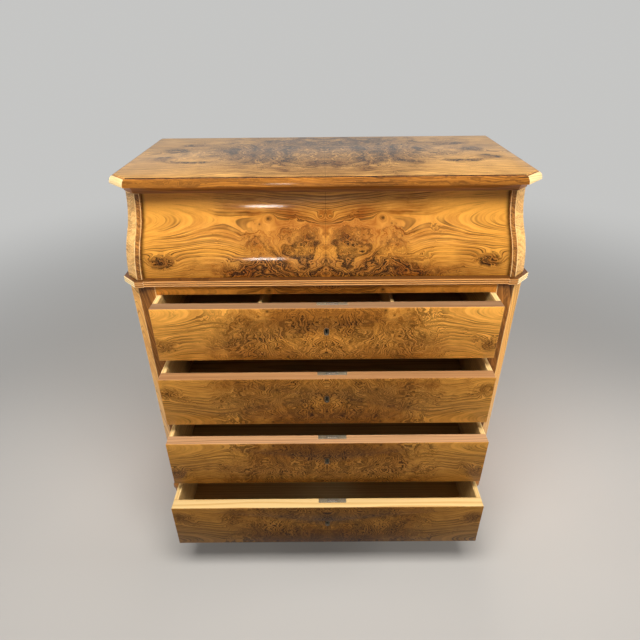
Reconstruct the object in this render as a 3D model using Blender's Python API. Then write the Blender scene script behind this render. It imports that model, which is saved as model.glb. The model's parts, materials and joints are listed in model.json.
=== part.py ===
"""Dressing table: a walnut commode with a lift-up lid over a well, and four drawers.

A moulded lid with a mirror on its underside closes a shallow well. The front of the well
is an ogee panel between two scrolled brackets with canted faces. Below a reeded waist
moulding, four drawers with locks run between canted stiles, over a moulded plinth.

Units are metres, +Z is up and the front faces -Y. Sizes are set out from the front plane
of the stiles (y = 0) and from the floor (z = 0). The drawers stand open as they are shown.
"""

import math

import bmesh
import bpy
from mathutils import Matrix, Vector

# Fits and clearances
FIT = 0.0003                    # gap between pieces that touch
DRAWER_SIDE_CLEARANCE = 0.001   # drawer front to stile
DRAWER_TOP_CLEARANCE = 0.001    # drawer front to the rail above it
DRAWER_BACK_SPACE = 0.040       # closed drawer to the back panel
BOLT_MORTISE_CLEARANCE = 0.0015

# Carcase
CARCASE_WIDTH = 0.908
CARCASE_DEPTH = 0.496
SIDE_THICKNESS = 0.020
BACK_THICKNESS = 0.012
BACK_RAIL_DEPTH = 0.030
STILE_WIDTH = 0.064
STILE_DEPTH = 0.045
CORNER_CANT = 0.025             # leg of the 45 degree cant on a stile
TOP_RAIL_HEIGHT = 0.0235
RAIL_HEIGHT = 0.0285
BOTTOM_THICKNESS = 0.0153
WELL_FLOOR_THICKNESS = 0.018
DUST_BOARD_THICKNESS = 0.010
GUIDE_HEIGHT = 0.012            # strips that keep a drawer in line

# Plinth and base moulding
PLINTH_HEIGHT = 0.078
PLINTH_THICKNESS = 0.022
PLINTH_PROJECTION = 0.006
BASE_HEIGHT = 0.020
BASE_PROJECTION = 0.0095
BASE_FILLET = 0.008             # flat edge under the rounded part
BASE_TOP_PROJECTION = 0.002
BASE_DEPTH = 0.020              # how far the moulding reaches under the carcase

# Reeded waist moulding
WAIST_HEIGHT = 0.0155
WAIST_PROJECTION = 0.011
WAIST_BREAK = 0.004             # the front run stands back this far from the corner blocks
REED_COUNT = 3
REED_RELIEF = 0.002
BLOCK_MARGIN = 0.004            # a corner block is this much wider than its bracket

# Ogee frieze and its brackets
FRIEZE_HEIGHT = 0.173
OGEE_SETBACK = 0.083
OGEE_RUNOUT = 0.0055            # the curve runs on this far past the frieze at each end
OGEE_PROUD = 0.001              # the foot of the curve stands proud of the stiles
BRACKET_FACE = 0.0115
BRACKET_CANT = 0.028
BRACKET_TAIL = 0.016            # straight side of a bracket at its top
PANEL_RECESS = 0.010
PANEL_THICKNESS = 0.022

# Bed moulding and lid
BED_HEIGHT = 0.0195
BED_PROJECTION = 0.012
BED_FOOT = 0.002
BED_DEPTH = 0.030
LID_THICKNESS = 0.0185
LID_OVERHANG = 0.0155
LID_FILLET = 0.0015             # step between the top and the round nose
LID_NOSE = 0.012

# Mirror under the lid
MIRROR_MARGIN = 0.030           # mirror frame to the walls of the well
MIRROR_FRAME_WIDTH = 0.016
MIRROR_FRAME_HEIGHT = 0.008
MIRROR_THICKNESS = 0.004

# Lid hinges
HINGE_INSET = 0.174             # middle of a hinge from the side of the carcase
HINGE_LENGTH = 0.060
LEAF_WIDTH = 0.022
LEAF_THICKNESS = 0.0016
KNUCKLE_RADIUS = 0.0038
PIN_RADIUS = 0.0018

# Drawers, listed from the top down
DRAWER_1_OPEN = 0.066
DRAWER_2_OPEN = 0.102
DRAWER_3_OPEN = 0.139
DRAWER_4_OPEN = 0.1925
OPEN_AT_REST = (DRAWER_1_OPEN, DRAWER_2_OPEN, DRAWER_3_OPEN, DRAWER_4_OPEN)
DRAWER_HEIGHT = 0.1365
FRONT_THICKNESS = 0.028
DRAWER_SIDE_THICKNESS = 0.0115
DRAWER_BACK_THICKNESS = 0.011
DRAWER_BACK_DROP = 0.010        # the back stands lower than the sides
DRAWER_BOTTOM_THICKNESS = 0.0075
DRAWER_BOTTOM_RISE = 0.006
DIVIDER_SPACING = 0.310
DIVIDER_THICKNESS = 0.008
DIVIDER_DROP = 0.026

# Drawer locks and keyholes
LOCK_WIDTH = 0.069
LOCK_DEPTH = 0.012
LOCK_OFFSET = 0.013             # the lock sits to the right of its keyhole
LOCK_BELOW_KEY = 0.017
KEY_DROP = 0.061                # keyhole centre below the top of the drawer front
BOLT_WIDTH = 0.026
BOLT_THICKNESS = 0.005
BOLT_LENGTH = 0.028
BOLT_TRAVEL = 0.007
KEYHOLE_HEIGHT = 0.0145
KEYHOLE_EYE_RADIUS = 0.0036
KEYHOLE_SLOT = 0.0036
NOZZLE_WIDTH = 0.0115           # oval lining of the keyhole, part of the lock
NOZZLE_HEIGHT = 0.020

# Facets
OGEE_STEPS = 16
REED_STEPS = 4
CURVE_STEPS = 6
ROUND_STEPS = 16

# Levels, from the floor up
BASE_TOP = PLINTH_HEIGHT + BASE_HEIGHT
BOTTOM_TOP = BASE_TOP + BOTTOM_THICKNESS
OPENING_HEIGHT = FIT + DRAWER_HEIGHT + DRAWER_TOP_CLEARANCE
DRAWER_PITCH = OPENING_HEIGHT + RAIL_HEIGHT
DRAWER_COUNT = len(OPEN_AT_REST)
OPENING_TOP = BOTTOM_TOP + DRAWER_COUNT * DRAWER_PITCH - RAIL_HEIGHT
WAIST_BOTTOM = OPENING_TOP + TOP_RAIL_HEIGHT
WAIST_TOP = WAIST_BOTTOM + WAIST_HEIGHT
FRIEZE_TOP = WAIST_TOP + FRIEZE_HEIGHT
LID_BOTTOM = FRIEZE_TOP + BED_HEIGHT
LID_TOP = LID_BOTTOM + LID_THICKNESS

# Widths and depths
HALF_WIDTH = CARCASE_WIDTH / 2
SIDE_INNER = HALF_WIDTH - SIDE_THICKNESS
OPENING_HALF = HALF_WIDTH - STILE_WIDTH
BRACKET_INNER = HALF_WIDTH - BRACKET_CANT - BRACKET_FACE
HINGE_MIDDLE = HALF_WIDTH - HINGE_INSET
BACK_FACE = CARCASE_DEPTH - BACK_THICKNESS
DRAWER_HALF = OPENING_HALF - DRAWER_SIDE_CLEARANCE
DRAWER_DEPTH = BACK_FACE - DRAWER_BACK_SPACE
DRAWER_INNER = DRAWER_HALF - DRAWER_SIDE_THICKNESS
LOCK_HEIGHT = KEY_DROP + LOCK_BELOW_KEY
KEY_LEVEL = DRAWER_HEIGHT - KEY_DROP
BOLT_MIDDLE = FRONT_THICKNESS - LOCK_DEPTH / 2

# Lid hinge axis, just behind the back of the carcase
HINGE_AXIS = Vector((
    0.0,
    CARCASE_DEPTH + KNUCKLE_RADIUS + FIT,
    LID_BOTTOM - FIT - LEAF_THICKNESS - FIT / 2,
))

# The origin lies under the middle of the whole table, with its drawers open
FRONT_MOST = -max(OPEN_AT_REST)
BACK_MOST = HINGE_AXIS.y + KNUCKLE_RADIUS
MIDDLE = (FRONT_MOST + BACK_MOST) / 2


# Scene, materials and pieces


def clear_scene():
    for old in list(bpy.data.objects):
        bpy.data.objects.remove(old, do_unlink=True)


def new_collection(name):
    collection = bpy.data.collections.new(name)
    bpy.context.scene.collection.children.link(collection)
    return collection


def new_material(name, colour, roughness, metallic=0.0):
    material = bpy.data.materials.new(name)
    material.use_nodes = True
    shader = material.node_tree.nodes["Principled BSDF"]
    shader.inputs["Base Color"].default_value = (*colour, 1.0)
    shader.inputs["Roughness"].default_value = roughness
    shader.inputs["Metallic"].default_value = metallic
    return material


def new_empty(name, location, parent=None):
    empty = bpy.data.objects.new(name, None)
    PARTS.objects.link(empty)
    empty.location = location
    empty.parent = parent
    return empty


def new_object(name, bm, collection, parent, location):
    bmesh.ops.recalc_face_normals(bm, faces=bm.faces)
    mesh = bpy.data.meshes.new(name)
    bm.to_mesh(mesh)
    bm.free()
    obj = bpy.data.objects.new(name, mesh)
    collection.objects.link(obj)
    obj.parent = parent
    obj.location = location
    return obj


def piece(name, bm, material, parent, location=(0.0, 0.0, 0.0)):
    """Make one named piece of the table from the solids in bm."""
    obj = new_object(name, bm, PARTS, parent, location)
    obj.data.materials.append(material)
    return obj


def combine(target, operation, bm):
    """Cut the solids in bm from a piece (DIFFERENCE) or fuse them to it (UNION)."""
    tool = new_object(target.name + "_" + operation.lower(), bm, TOOLS, target.parent, target.location)
    tool.hide_render = True
    tool.display_type = "WIRE"
    modifier = target.modifiers.new(tool.name, "BOOLEAN")
    modifier.operation = operation
    modifier.object = tool
    modifier.solver = "EXACT"


# Basic solids


def add_box(bm, low, high):
    size = Vector(high) - Vector(low)
    middle = (Vector(high) + Vector(low)) / 2
    bmesh.ops.create_cube(bm, size=1.0, matrix=Matrix.Translation(middle) @ Matrix.Diagonal((*size, 1.0)))


def add_rod(bm, x0, x1, radius):
    """A round bar along X, on the line y = z = 0."""
    place = Matrix.Translation(((x0 + x1) / 2, 0.0, 0.0)) @ Matrix.Rotation(math.pi / 2, 4, "Y")
    bmesh.ops.create_cone(
        bm, cap_ends=True, segments=ROUND_STEPS, radius1=radius, radius2=radius, depth=x1 - x0, matrix=place
    )


def add_loft(bm, rings):
    """Join a stack of outlines with equal numbers of corners into one closed solid."""
    loops = []
    for ring in rings:
        corners = [bm.verts.new(point) for point in ring]
        loops.append([bm.edges.new(pair) for pair in zip(corners, corners[1:] + corners[:1])])
    for lower, upper in zip(loops, loops[1:]):
        bmesh.ops.bridge_loops(bm, edges=lower + upper)
    for end in (loops[0], loops[-1]):
        bmesh.ops.contextual_create(bm, geom=end)


def add_front_prism(bm, outline, y0, y1):
    """Extrude an outline drawn in X and Z from y0 back to y1."""
    add_loft(bm, [[(x, y, z) for x, z in outline] for y in (y0, y1)])


def add_side_prism(bm, outline, x0, x1):
    """Extrude an outline drawn in Y and Z from x0 to x1."""
    add_loft(bm, [[(x, y, z) for y, z in outline] for x in (x0, x1)])


def box(name, low, high, material, parent):
    bm = bmesh.new()
    add_box(bm, low, high)
    return piece(name, bm, material, parent)


# Plan lines and mouldings


def corner_path(front, cant):
    """Plan line of the carcase: left side, canted corner, front, canted corner, right side."""
    right = [
        Vector((HALF_WIDTH - cant, front)),
        Vector((HALF_WIDTH, front + cant)),
        Vector((HALF_WIDTH, CARCASE_DEPTH)),
    ]
    left = [Vector((-point.x, point.y)) for point in reversed(right)]
    return left + right


def offset_path(path, distance):
    """Move a plan line outwards, with its corners mitred and its ends square."""
    directions = [(end - start).normalized() for start, end in zip(path, path[1:])]
    normals = [Vector((along.y, -along.x)) for along in directions]
    moved = []
    for index, point in enumerate(path):
        before = normals[max(index - 1, 0)]
        after = normals[min(index, len(normals) - 1)]
        moved.append(point + (before + after) * distance / (1.0 + before.dot(after)))
    return moved


def add_moulding(bm, path, profile, inner):
    """Run a moulding along a plan line. A profile is a list of (projection, level).

    inner is the plan line of the moulding's back, drawn the same way as path.
    """
    rings = []
    for projection, level in profile:
        plan = offset_path(path, projection) + list(reversed(inner))
        rings.append([(point.x, point.y, level) for point in plan])
    add_loft(bm, rings)


def base_profile():
    """A flat edge with a quarter round above it."""
    profile = [(BASE_PROJECTION, PLINTH_HEIGHT)]
    round_start = PLINTH_HEIGHT + BASE_FILLET
    round_height = BASE_TOP - FIT - round_start
    round_depth = BASE_PROJECTION - BASE_TOP_PROJECTION
    for step in range(CURVE_STEPS + 1):
        turn = math.pi / 2 * step / CURVE_STEPS
        projection = BASE_TOP_PROJECTION + round_depth * math.cos(turn)
        profile.append((projection, round_start + round_height * math.sin(turn)))
    return profile


def reed_profile():
    """Half-round reeds, one above the other."""
    radius = (WAIST_HEIGHT - FIT) / (2 * REED_COUNT)
    profile = []
    for reed in range(REED_COUNT):
        middle = WAIST_BOTTOM + radius * (2 * reed + 1)
        for step in range(REED_STEPS):
            turn = math.pi * (step / REED_STEPS - 0.5)
            projection = WAIST_PROJECTION - REED_RELIEF * (1.0 - math.cos(turn))
            profile.append((projection, middle + radius * math.sin(turn)))
    profile.append((WAIST_PROJECTION - REED_RELIEF, WAIST_TOP - FIT))
    return profile


def bed_profile():
    """A cove that flares out under the lid."""
    profile = []
    for step in range(CURVE_STEPS + 1):
        turn = math.pi / 2 * step / CURVE_STEPS
        projection = BED_FOOT + (BED_PROJECTION - BED_FOOT) * (1.0 - math.cos(turn))
        profile.append((projection, FRIEZE_TOP + (BED_HEIGHT - FIT) * step / CURVE_STEPS))
    return profile


def lid_profile():
    """A quarter-round nose, widest at the bottom, with a square fillet above it."""
    nose_height = LID_THICKNESS - LID_FILLET
    profile = []
    for step in range(CURVE_STEPS + 1):
        turn = math.pi / 2 * step / CURVE_STEPS
        level = LID_BOTTOM + nose_height * math.sin(turn)
        profile.append((LID_OVERHANG + LID_NOSE * math.cos(turn), level))
    profile.append((LID_OVERHANG, LID_TOP))
    return profile


# Ogee frieze


def ogee_front(level):
    """Front of the scrolled brackets at a level: two equal arcs, convex below and concave above."""
    half_rise = FRIEZE_HEIGHT / 2 + OGEE_RUNOUT
    half_setback = OGEE_SETBACK / 2
    radius = (half_setback ** 2 + half_rise ** 2) / (2 * half_setback)
    foot = WAIST_TOP - OGEE_RUNOUT
    head = FRIEZE_TOP + OGEE_RUNOUT
    if level < foot + half_rise:
        return radius - math.sqrt(radius ** 2 - (level - foot) ** 2) - OGEE_PROUD
    return OGEE_SETBACK - radius + math.sqrt(radius ** 2 - (head - level) ** 2) - OGEE_PROUD


def frieze_levels():
    height = FRIEZE_HEIGHT - FIT
    return [WAIST_TOP + height * step / OGEE_STEPS for step in range(OGEE_STEPS + 1)]


FRIEZE_FRONT = ogee_front(FRIEZE_TOP)
BRACKET_BACK = FRIEZE_FRONT + BRACKET_CANT + BRACKET_TAIL


def make_brackets(material, parent):
    for side, name in ((-1, "bracket_left"), (1, "bracket_right")):
        rings = []
        for level in frieze_levels():
            front = ogee_front(level)
            plan = (
                (BRACKET_INNER, front),
                (HALF_WIDTH - BRACKET_CANT, front),
                (HALF_WIDTH, front + BRACKET_CANT),
                (HALF_WIDTH, BRACKET_BACK),
                (BRACKET_INNER, BRACKET_BACK),
            )
            rings.append([(side * x, y, level) for x, y in plan])
        bm = bmesh.new()
        add_loft(bm, rings)
        piece(name, bm, material, parent)


def make_ogee_panel(material, parent):
    front = [(ogee_front(level) + PANEL_RECESS, level) for level in frieze_levels()]
    back = [(y + PANEL_THICKNESS, level) for y, level in reversed(front)]
    bm = bmesh.new()
    add_side_prism(bm, front + back, -BRACKET_INNER + FIT, BRACKET_INNER - FIT)
    piece("ogee_panel", bm, material, parent)


# Carcase


def make_stiles(material, parent):
    for side, name in ((-1, "stile_left"), (1, "stile_right")):
        plan = (
            (OPENING_HALF, 0.0),
            (HALF_WIDTH - CORNER_CANT, 0.0),
            (HALF_WIDTH, CORNER_CANT),
            (HALF_WIDTH, STILE_DEPTH),
            (OPENING_HALF, STILE_DEPTH),
        )
        bm = bmesh.new()
        add_loft(bm, [[(side * x, y, z) for x, y in plan] for z in (BASE_TOP, WAIST_BOTTOM - FIT)])
        piece(name, bm, material, parent)


def make_sides(material, parent):
    front = STILE_DEPTH + FIT
    shoulder = BRACKET_BACK + FIT
    outline = (
        (front, BASE_TOP),
        (CARCASE_DEPTH, BASE_TOP),
        (CARCASE_DEPTH, FRIEZE_TOP - FIT),
        (shoulder, FRIEZE_TOP - FIT),
        (shoulder, WAIST_TOP - FIT),
        (front, WAIST_TOP - FIT),
    )
    for side, name in ((-1, "side_left"), (1, "side_right")):
        bm = bmesh.new()
        add_side_prism(bm, outline, side * SIDE_INNER, side * HALF_WIDTH)
        piece(name, bm, material, parent)


def make_boards(walnut, pine, parent):
    """Back panel, hinge rail, floor of the well and bottom board."""
    inner = SIDE_INNER - FIT
    rail = HALF_WIDTH - BED_DEPTH - FIT
    floor_top = WAIST_TOP - FIT
    box("back_panel", (-inner, BACK_FACE, PLINTH_HEIGHT), (inner, CARCASE_DEPTH, FRIEZE_TOP - FIT), pine, parent)
    box(
        "well_floor",
        (-inner, STILE_DEPTH + FIT, floor_top - WELL_FLOOR_THICKNESS),
        (inner, BACK_FACE - FIT, floor_top),
        pine,
        parent,
    )
    back_rail = box(
        "back_rail",
        (-rail, CARCASE_DEPTH - BACK_RAIL_DEPTH, FRIEZE_TOP),
        (rail, CARCASE_DEPTH, LID_BOTTOM - FIT),
        walnut,
        parent,
    )
    recess = bmesh.new()
    recess_bottom = HINGE_AXIS.z - LEAF_THICKNESS - 2 * FIT
    half = HINGE_LENGTH / 2 + FIT
    for middle in (-HINGE_MIDDLE, HINGE_MIDDLE):
        low = (middle - half, CARCASE_DEPTH - LEAF_WIDTH - FIT, recess_bottom)
        add_box(recess, low, (middle + half, HINGE_AXIS.y, LID_TOP))
    combine(back_rail, "DIFFERENCE", recess)

    tongue = OPENING_HALF - FIT
    half_plan = (
        (tongue, 0.0),
        (tongue, STILE_DEPTH + FIT),
        (inner, STILE_DEPTH + FIT),
        (inner, BACK_FACE - FIT),
    )
    plan = list(half_plan) + [(-x, y) for x, y in reversed(half_plan)]
    bm = bmesh.new()
    add_loft(bm, [[(x, y, z) for x, y in plan] for z in (BASE_TOP, BOTTOM_TOP)])
    bottom = piece("bottom_board", bm, pine, parent)
    for side in (-1, 1):
        x0, x1 = sorted((side * OPENING_HALF, side * (inner - FIT)))
        guide = bmesh.new()
        low = (x0, STILE_DEPTH + 2 * FIT, BOTTOM_TOP - BOTTOM_THICKNESS / 2)
        add_box(guide, low, (x1, BACK_FACE - 2 * FIT, BOTTOM_TOP + GUIDE_HEIGHT))
        combine(bottom, "UNION", guide)


def drawer_floor(index):
    """Level of the rail or board that a drawer stands on."""
    return BOTTOM_TOP + (DRAWER_COUNT - 1 - index) * DRAWER_PITCH


def cut_bolt_mortise(rail, underside):
    """A pocket in the rail above a drawer, for the bolt of its lock."""
    room = BOLT_MORTISE_CLEARANCE
    half_width = BOLT_WIDTH / 2 + room
    half_depth = BOLT_THICKNESS / 2 + room
    bm = bmesh.new()
    add_box(
        bm,
        (LOCK_OFFSET - half_width, BOLT_MIDDLE - half_depth, underside - room),
        (LOCK_OFFSET + half_width, BOLT_MIDDLE + half_depth, underside + BOLT_TRAVEL + room),
    )
    combine(rail, "DIFFERENCE", bm)


def make_rails(material, parent):
    half = OPENING_HALF - FIT
    top = box("top_rail", (-half, 0.0, OPENING_TOP), (half, STILE_DEPTH, WAIST_BOTTOM - FIT), material, parent)
    cut_bolt_mortise(top, OPENING_TOP)
    for index in range(DRAWER_COUNT - 1):
        level = drawer_floor(index)
        low = (-half, 0.0, level - RAIL_HEIGHT)
        rail = box(f"drawer_rail_{index + 1}", low, (half, STILE_DEPTH, level), material, parent)
        cut_bolt_mortise(rail, level - RAIL_HEIGHT)


def make_dust_boards(material, parent):
    """Boards between the drawers that carry the drawer above, with a guide strip at each end."""
    outer = SIDE_INNER - FIT
    for index in range(DRAWER_COUNT - 1):
        level = drawer_floor(index)
        half_outline = (
            (outer, level - DUST_BOARD_THICKNESS),
            (outer, level + GUIDE_HEIGHT),
            (OPENING_HALF, level + GUIDE_HEIGHT),
            (OPENING_HALF, level),
        )
        outline = list(half_outline) + [(-x, z) for x, z in reversed(half_outline)]
        bm = bmesh.new()
        add_front_prism(bm, outline, STILE_DEPTH + FIT, BACK_FACE - FIT)
        piece(f"dust_board_{index + 1}", bm, material, parent)


# Plinth, waist, bed moulding


def make_plinth(material, parent):
    path = corner_path(0.0, CORNER_CANT)
    bm = bmesh.new()
    outer = offset_path(path, PLINTH_PROJECTION)
    add_loft(bm, [[(point.x, point.y, z) for point in outer] for z in (0.0, PLINTH_HEIGHT - FIT)])
    plinth = piece("plinth", bm, material, parent)
    inner = offset_path(path, PLINTH_PROJECTION - PLINTH_THICKNESS)
    for point in (inner[0], inner[-1]):
        point.y -= PLINTH_THICKNESS
    hollow = bmesh.new()
    add_loft(hollow, [[(point.x, point.y, z) for point in inner] for z in (-PLINTH_HEIGHT, 2 * PLINTH_HEIGHT)])
    combine(plinth, "DIFFERENCE", hollow)

    bm = bmesh.new()
    add_moulding(bm, path, base_profile(), offset_path(path, -BASE_DEPTH))
    piece("base_moulding", bm, material, parent)


def make_waist_moulding(material, parent):
    """A front run that stands back between two corner blocks, and a length along each side."""
    block_end = BRACKET_INNER - BLOCK_MARGIN + WAIST_PROJECTION
    right = [
        Vector((block_end, WAIST_BREAK)),
        Vector((block_end, 0.0)),
        *corner_path(0.0, BRACKET_CANT)[3:],
    ]
    left = [Vector((-point.x, point.y)) for point in reversed(right)]
    half = HALF_WIDTH + FIT
    inner = [
        Vector((-half, CARCASE_DEPTH)),
        Vector((-half, STILE_DEPTH)),
        Vector((half, STILE_DEPTH)),
        Vector((half, CARCASE_DEPTH)),
    ]
    bm = bmesh.new()
    add_moulding(bm, left + right, reed_profile(), inner)
    piece("waist_moulding", bm, material, parent)


def make_bed_moulding(material, parent):
    path = corner_path(FRIEZE_FRONT, BRACKET_CANT)
    bm = bmesh.new()
    add_moulding(bm, path, bed_profile(), offset_path(path, -BED_DEPTH))
    piece("bed_moulding", bm, material, parent)


# Lid, mirror and hinges


def lid_piece(name, bm, material, lid):
    """Set a piece that was laid out in the carcase's frame on the lid's hinge axis."""
    bmesh.ops.translate(bm, verts=bm.verts, vec=-HINGE_AXIS)
    return piece(name, bm, material, lid)


def make_lid(walnut, glass, lid):
    path = corner_path(FRIEZE_FRONT, BRACKET_CANT)
    rings = []
    for projection, level in lid_profile():
        rings.append([(point.x, point.y, level) for point in offset_path(path, projection)])
    bm = bmesh.new()
    add_loft(bm, rings)
    lid_piece("lid_board", bm, walnut, lid)

    outer_x = HALF_WIDTH - BED_DEPTH - MIRROR_MARGIN
    front = FRIEZE_FRONT + BED_DEPTH + MIRROR_MARGIN
    back = CARCASE_DEPTH - BACK_RAIL_DEPTH - MIRROR_MARGIN
    top = LID_BOTTOM - FIT
    inner_x = outer_x - MIRROR_FRAME_WIDTH
    inner_front = front + MIRROR_FRAME_WIDTH
    inner_back = back - MIRROR_FRAME_WIDTH
    bm = bmesh.new()
    add_box(
        bm,
        (-inner_x + FIT, inner_front + FIT, top - MIRROR_THICKNESS),
        (inner_x - FIT, inner_back - FIT, top),
    )
    lid_piece("mirror_glass", bm, glass, lid)

    bm = bmesh.new()
    add_box(bm, (-outer_x, front, top - MIRROR_FRAME_HEIGHT), (outer_x, back, top))
    frame = lid_piece("mirror_frame", bm, walnut, lid)
    bm = bmesh.new()
    add_box(bm, (-inner_x, inner_front, top - 2 * MIRROR_FRAME_HEIGHT), (inner_x, inner_back, LID_TOP))
    bmesh.ops.translate(bm, verts=bm.verts, vec=-HINGE_AXIS)
    combine(frame, "DIFFERENCE", bm)


def hinge_plate(name, parent, location, low, material):
    """The flat plate of a hinge leaf, set out from the hinge axis."""
    plate_start = CARCASE_DEPTH - LEAF_WIDTH - HINGE_AXIS.y
    plate_end = -(KNUCKLE_RADIUS + PIN_RADIUS + FIT) / 2
    half = HINGE_LENGTH / 2
    bm = bmesh.new()
    add_box(bm, (-half, plate_start, low), (half, plate_end, low + LEAF_THICKNESS))
    return piece(name, bm, material, parent, location)


def combine_rods(target, operation, spans, radius):
    bm = bmesh.new()
    for start, end in spans:
        add_rod(bm, start, end, radius)
    combine(target, operation, bm)


def make_hinges(brass, table, lid):
    """Each hinge has two outer knuckles and the pin on the frame leaf, and one knuckle on the lid leaf."""
    half = HINGE_LENGTH / 2
    third = HINGE_LENGTH / 6
    outer_spans = ((-half, -third), (third, half))
    clear = KNUCKLE_RADIUS + FIT
    for middle, name in ((-HINGE_MIDDLE, "hinge_left"), (HINGE_MIDDLE, "hinge_right")):
        place = HINGE_AXIS + Vector((middle, 0.0, 0.0))
        frame_leaf = hinge_plate(name + "_frame_leaf", table, place, -FIT / 2 - LEAF_THICKNESS, brass)
        combine_rods(frame_leaf, "UNION", outer_spans, KNUCKLE_RADIUS)
        combine_rods(frame_leaf, "DIFFERENCE", [(-third, third)], clear)
        combine_rods(frame_leaf, "UNION", [(FIT - half, half - FIT)], PIN_RADIUS)
        lid_leaf = hinge_plate(name + "_lid_leaf", lid, (middle, 0.0, 0.0), FIT / 2, brass)
        combine_rods(lid_leaf, "UNION", [(FIT - third, third - FIT)], KNUCKLE_RADIUS)
        combine_rods(lid_leaf, "DIFFERENCE", [(-half, FIT - third), (third - FIT, half)], clear)
        combine_rods(lid_leaf, "DIFFERENCE", [(-half, half)], PIN_RADIUS + FIT)


# Drawers


def keyhole_outline():
    """A round eye over a straight slot, centred on the keyhole."""
    eye = KEYHOLE_HEIGHT / 2 - KEYHOLE_EYE_RADIUS
    half_slot = KEYHOLE_SLOT / 2
    start = math.asin(half_slot / KEYHOLE_EYE_RADIUS)
    sweep = 2 * (math.pi - start)
    outline = [(-half_slot, -KEYHOLE_HEIGHT / 2), (half_slot, -KEYHOLE_HEIGHT / 2)]
    for step in range(ROUND_STEPS + 1):
        turn = start + sweep * step / ROUND_STEPS
        outline.append((KEYHOLE_EYE_RADIUS * math.sin(turn), eye - KEYHOLE_EYE_RADIUS * math.cos(turn)))
    return [(x, z + KEY_LEVEL) for x, z in outline]


def nozzle_outline(margin):
    """An upright oval with straight sides, larger than the lock's nozzle by a margin."""
    radius = NOZZLE_WIDTH / 2 + margin
    straight = (NOZZLE_HEIGHT - NOZZLE_WIDTH) / 2
    outline = []
    for end in (1, -1):
        for step in range(ROUND_STEPS // 2 + 1):
            turn = math.pi * step / (ROUND_STEPS // 2)
            outline.append((end * radius * math.cos(turn), end * (straight + radius * math.sin(turn))))
    return [(x, z + KEY_LEVEL) for x, z in outline]


def make_drawer_front(name, material, drawer):
    """The front, with a pocket for the lock and an oval hole for its nozzle."""
    front = box(
        name + "_front",
        (-DRAWER_HALF, 0.0, 0.0),
        (DRAWER_HALF, FRONT_THICKNESS, DRAWER_HEIGHT),
        material,
        drawer,
    )
    outside = FRONT_THICKNESS
    half_width = LOCK_WIDTH / 2 + FIT
    pocket = bmesh.new()
    add_box(
        pocket,
        (LOCK_OFFSET - half_width, FRONT_THICKNESS - LOCK_DEPTH - FIT, DRAWER_HEIGHT - LOCK_HEIGHT - FIT),
        (LOCK_OFFSET + half_width, FRONT_THICKNESS + outside, DRAWER_HEIGHT + outside),
    )
    combine(front, "DIFFERENCE", pocket)
    hole = bmesh.new()
    add_front_prism(hole, nozzle_outline(FIT), -outside, BOLT_MIDDLE)
    combine(front, "DIFFERENCE", hole)


def make_lock(name, iron, drawer):
    """Lock case with its nozzle, keyhole and bolt channel, and the bolt."""
    top = DRAWER_HEIGHT - FIT
    case = box(
        name + "_lock",
        (LOCK_OFFSET - LOCK_WIDTH / 2, FRONT_THICKNESS - LOCK_DEPTH, DRAWER_HEIGHT - LOCK_HEIGHT),
        (LOCK_OFFSET + LOCK_WIDTH / 2, FRONT_THICKNESS, top),
        iron,
        drawer,
    )
    nozzle = bmesh.new()
    add_front_prism(nozzle, nozzle_outline(0.0), 0.0, BOLT_MIDDLE)
    combine(case, "UNION", nozzle)
    keyhole = bmesh.new()
    add_front_prism(keyhole, keyhole_outline(), -LOCK_DEPTH, BOLT_MIDDLE)
    combine(case, "DIFFERENCE", keyhole)
    channel = bmesh.new()
    half_width = BOLT_WIDTH / 2 + FIT
    half_depth = BOLT_THICKNESS / 2 + FIT
    add_box(
        channel,
        (LOCK_OFFSET - half_width, BOLT_MIDDLE - half_depth, top - BOLT_LENGTH - FIT),
        (LOCK_OFFSET + half_width, BOLT_MIDDLE + half_depth, top + BOLT_LENGTH),
    )
    combine(case, "DIFFERENCE", channel)

    bolt = bmesh.new()
    add_box(
        bolt,
        (-BOLT_WIDTH / 2, -BOLT_THICKNESS / 2, -BOLT_LENGTH),
        (BOLT_WIDTH / 2, BOLT_THICKNESS / 2, 0.0),
    )
    piece(name + "_bolt", bolt, iron, drawer, (LOCK_OFFSET, BOLT_MIDDLE, top))


def make_drawer_box(name, pine, drawer):
    """Sides, back and bottom behind a drawer front."""
    start = FRONT_THICKNESS + FIT
    back_face = DRAWER_DEPTH - DRAWER_BACK_THICKNESS
    bottom_top = DRAWER_BOTTOM_RISE + DRAWER_BOTTOM_THICKNESS
    inner = DRAWER_INNER - FIT
    box(name + "_side_left", (-DRAWER_HALF, start, 0.0), (-DRAWER_INNER, DRAWER_DEPTH, DRAWER_HEIGHT), pine, drawer)
    box(name + "_side_right", (DRAWER_INNER, start, 0.0), (DRAWER_HALF, DRAWER_DEPTH, DRAWER_HEIGHT), pine, drawer)
    box(
        name + "_back",
        (-inner, back_face, bottom_top + FIT),
        (inner, DRAWER_DEPTH, DRAWER_HEIGHT - DRAWER_BACK_DROP),
        pine,
        drawer,
    )
    box(name + "_bottom", (-inner, start, DRAWER_BOTTOM_RISE), (inner, DRAWER_DEPTH, bottom_top), pine, drawer)


def make_dividers(name, pine, drawer):
    """Two partitions that run from front to back."""
    start = FRONT_THICKNESS + FIT
    end = DRAWER_DEPTH - DRAWER_BACK_THICKNESS - FIT
    low = DRAWER_BOTTOM_RISE + DRAWER_BOTTOM_THICKNESS + FIT
    high = DRAWER_HEIGHT - DIVIDER_DROP
    half = DIVIDER_THICKNESS / 2
    for middle, label in ((-DIVIDER_SPACING / 2, "_divider_left"), (DIVIDER_SPACING / 2, "_divider_right")):
        box(name + label, (middle - half, start, low), (middle + half, end, high), pine, drawer)


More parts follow.
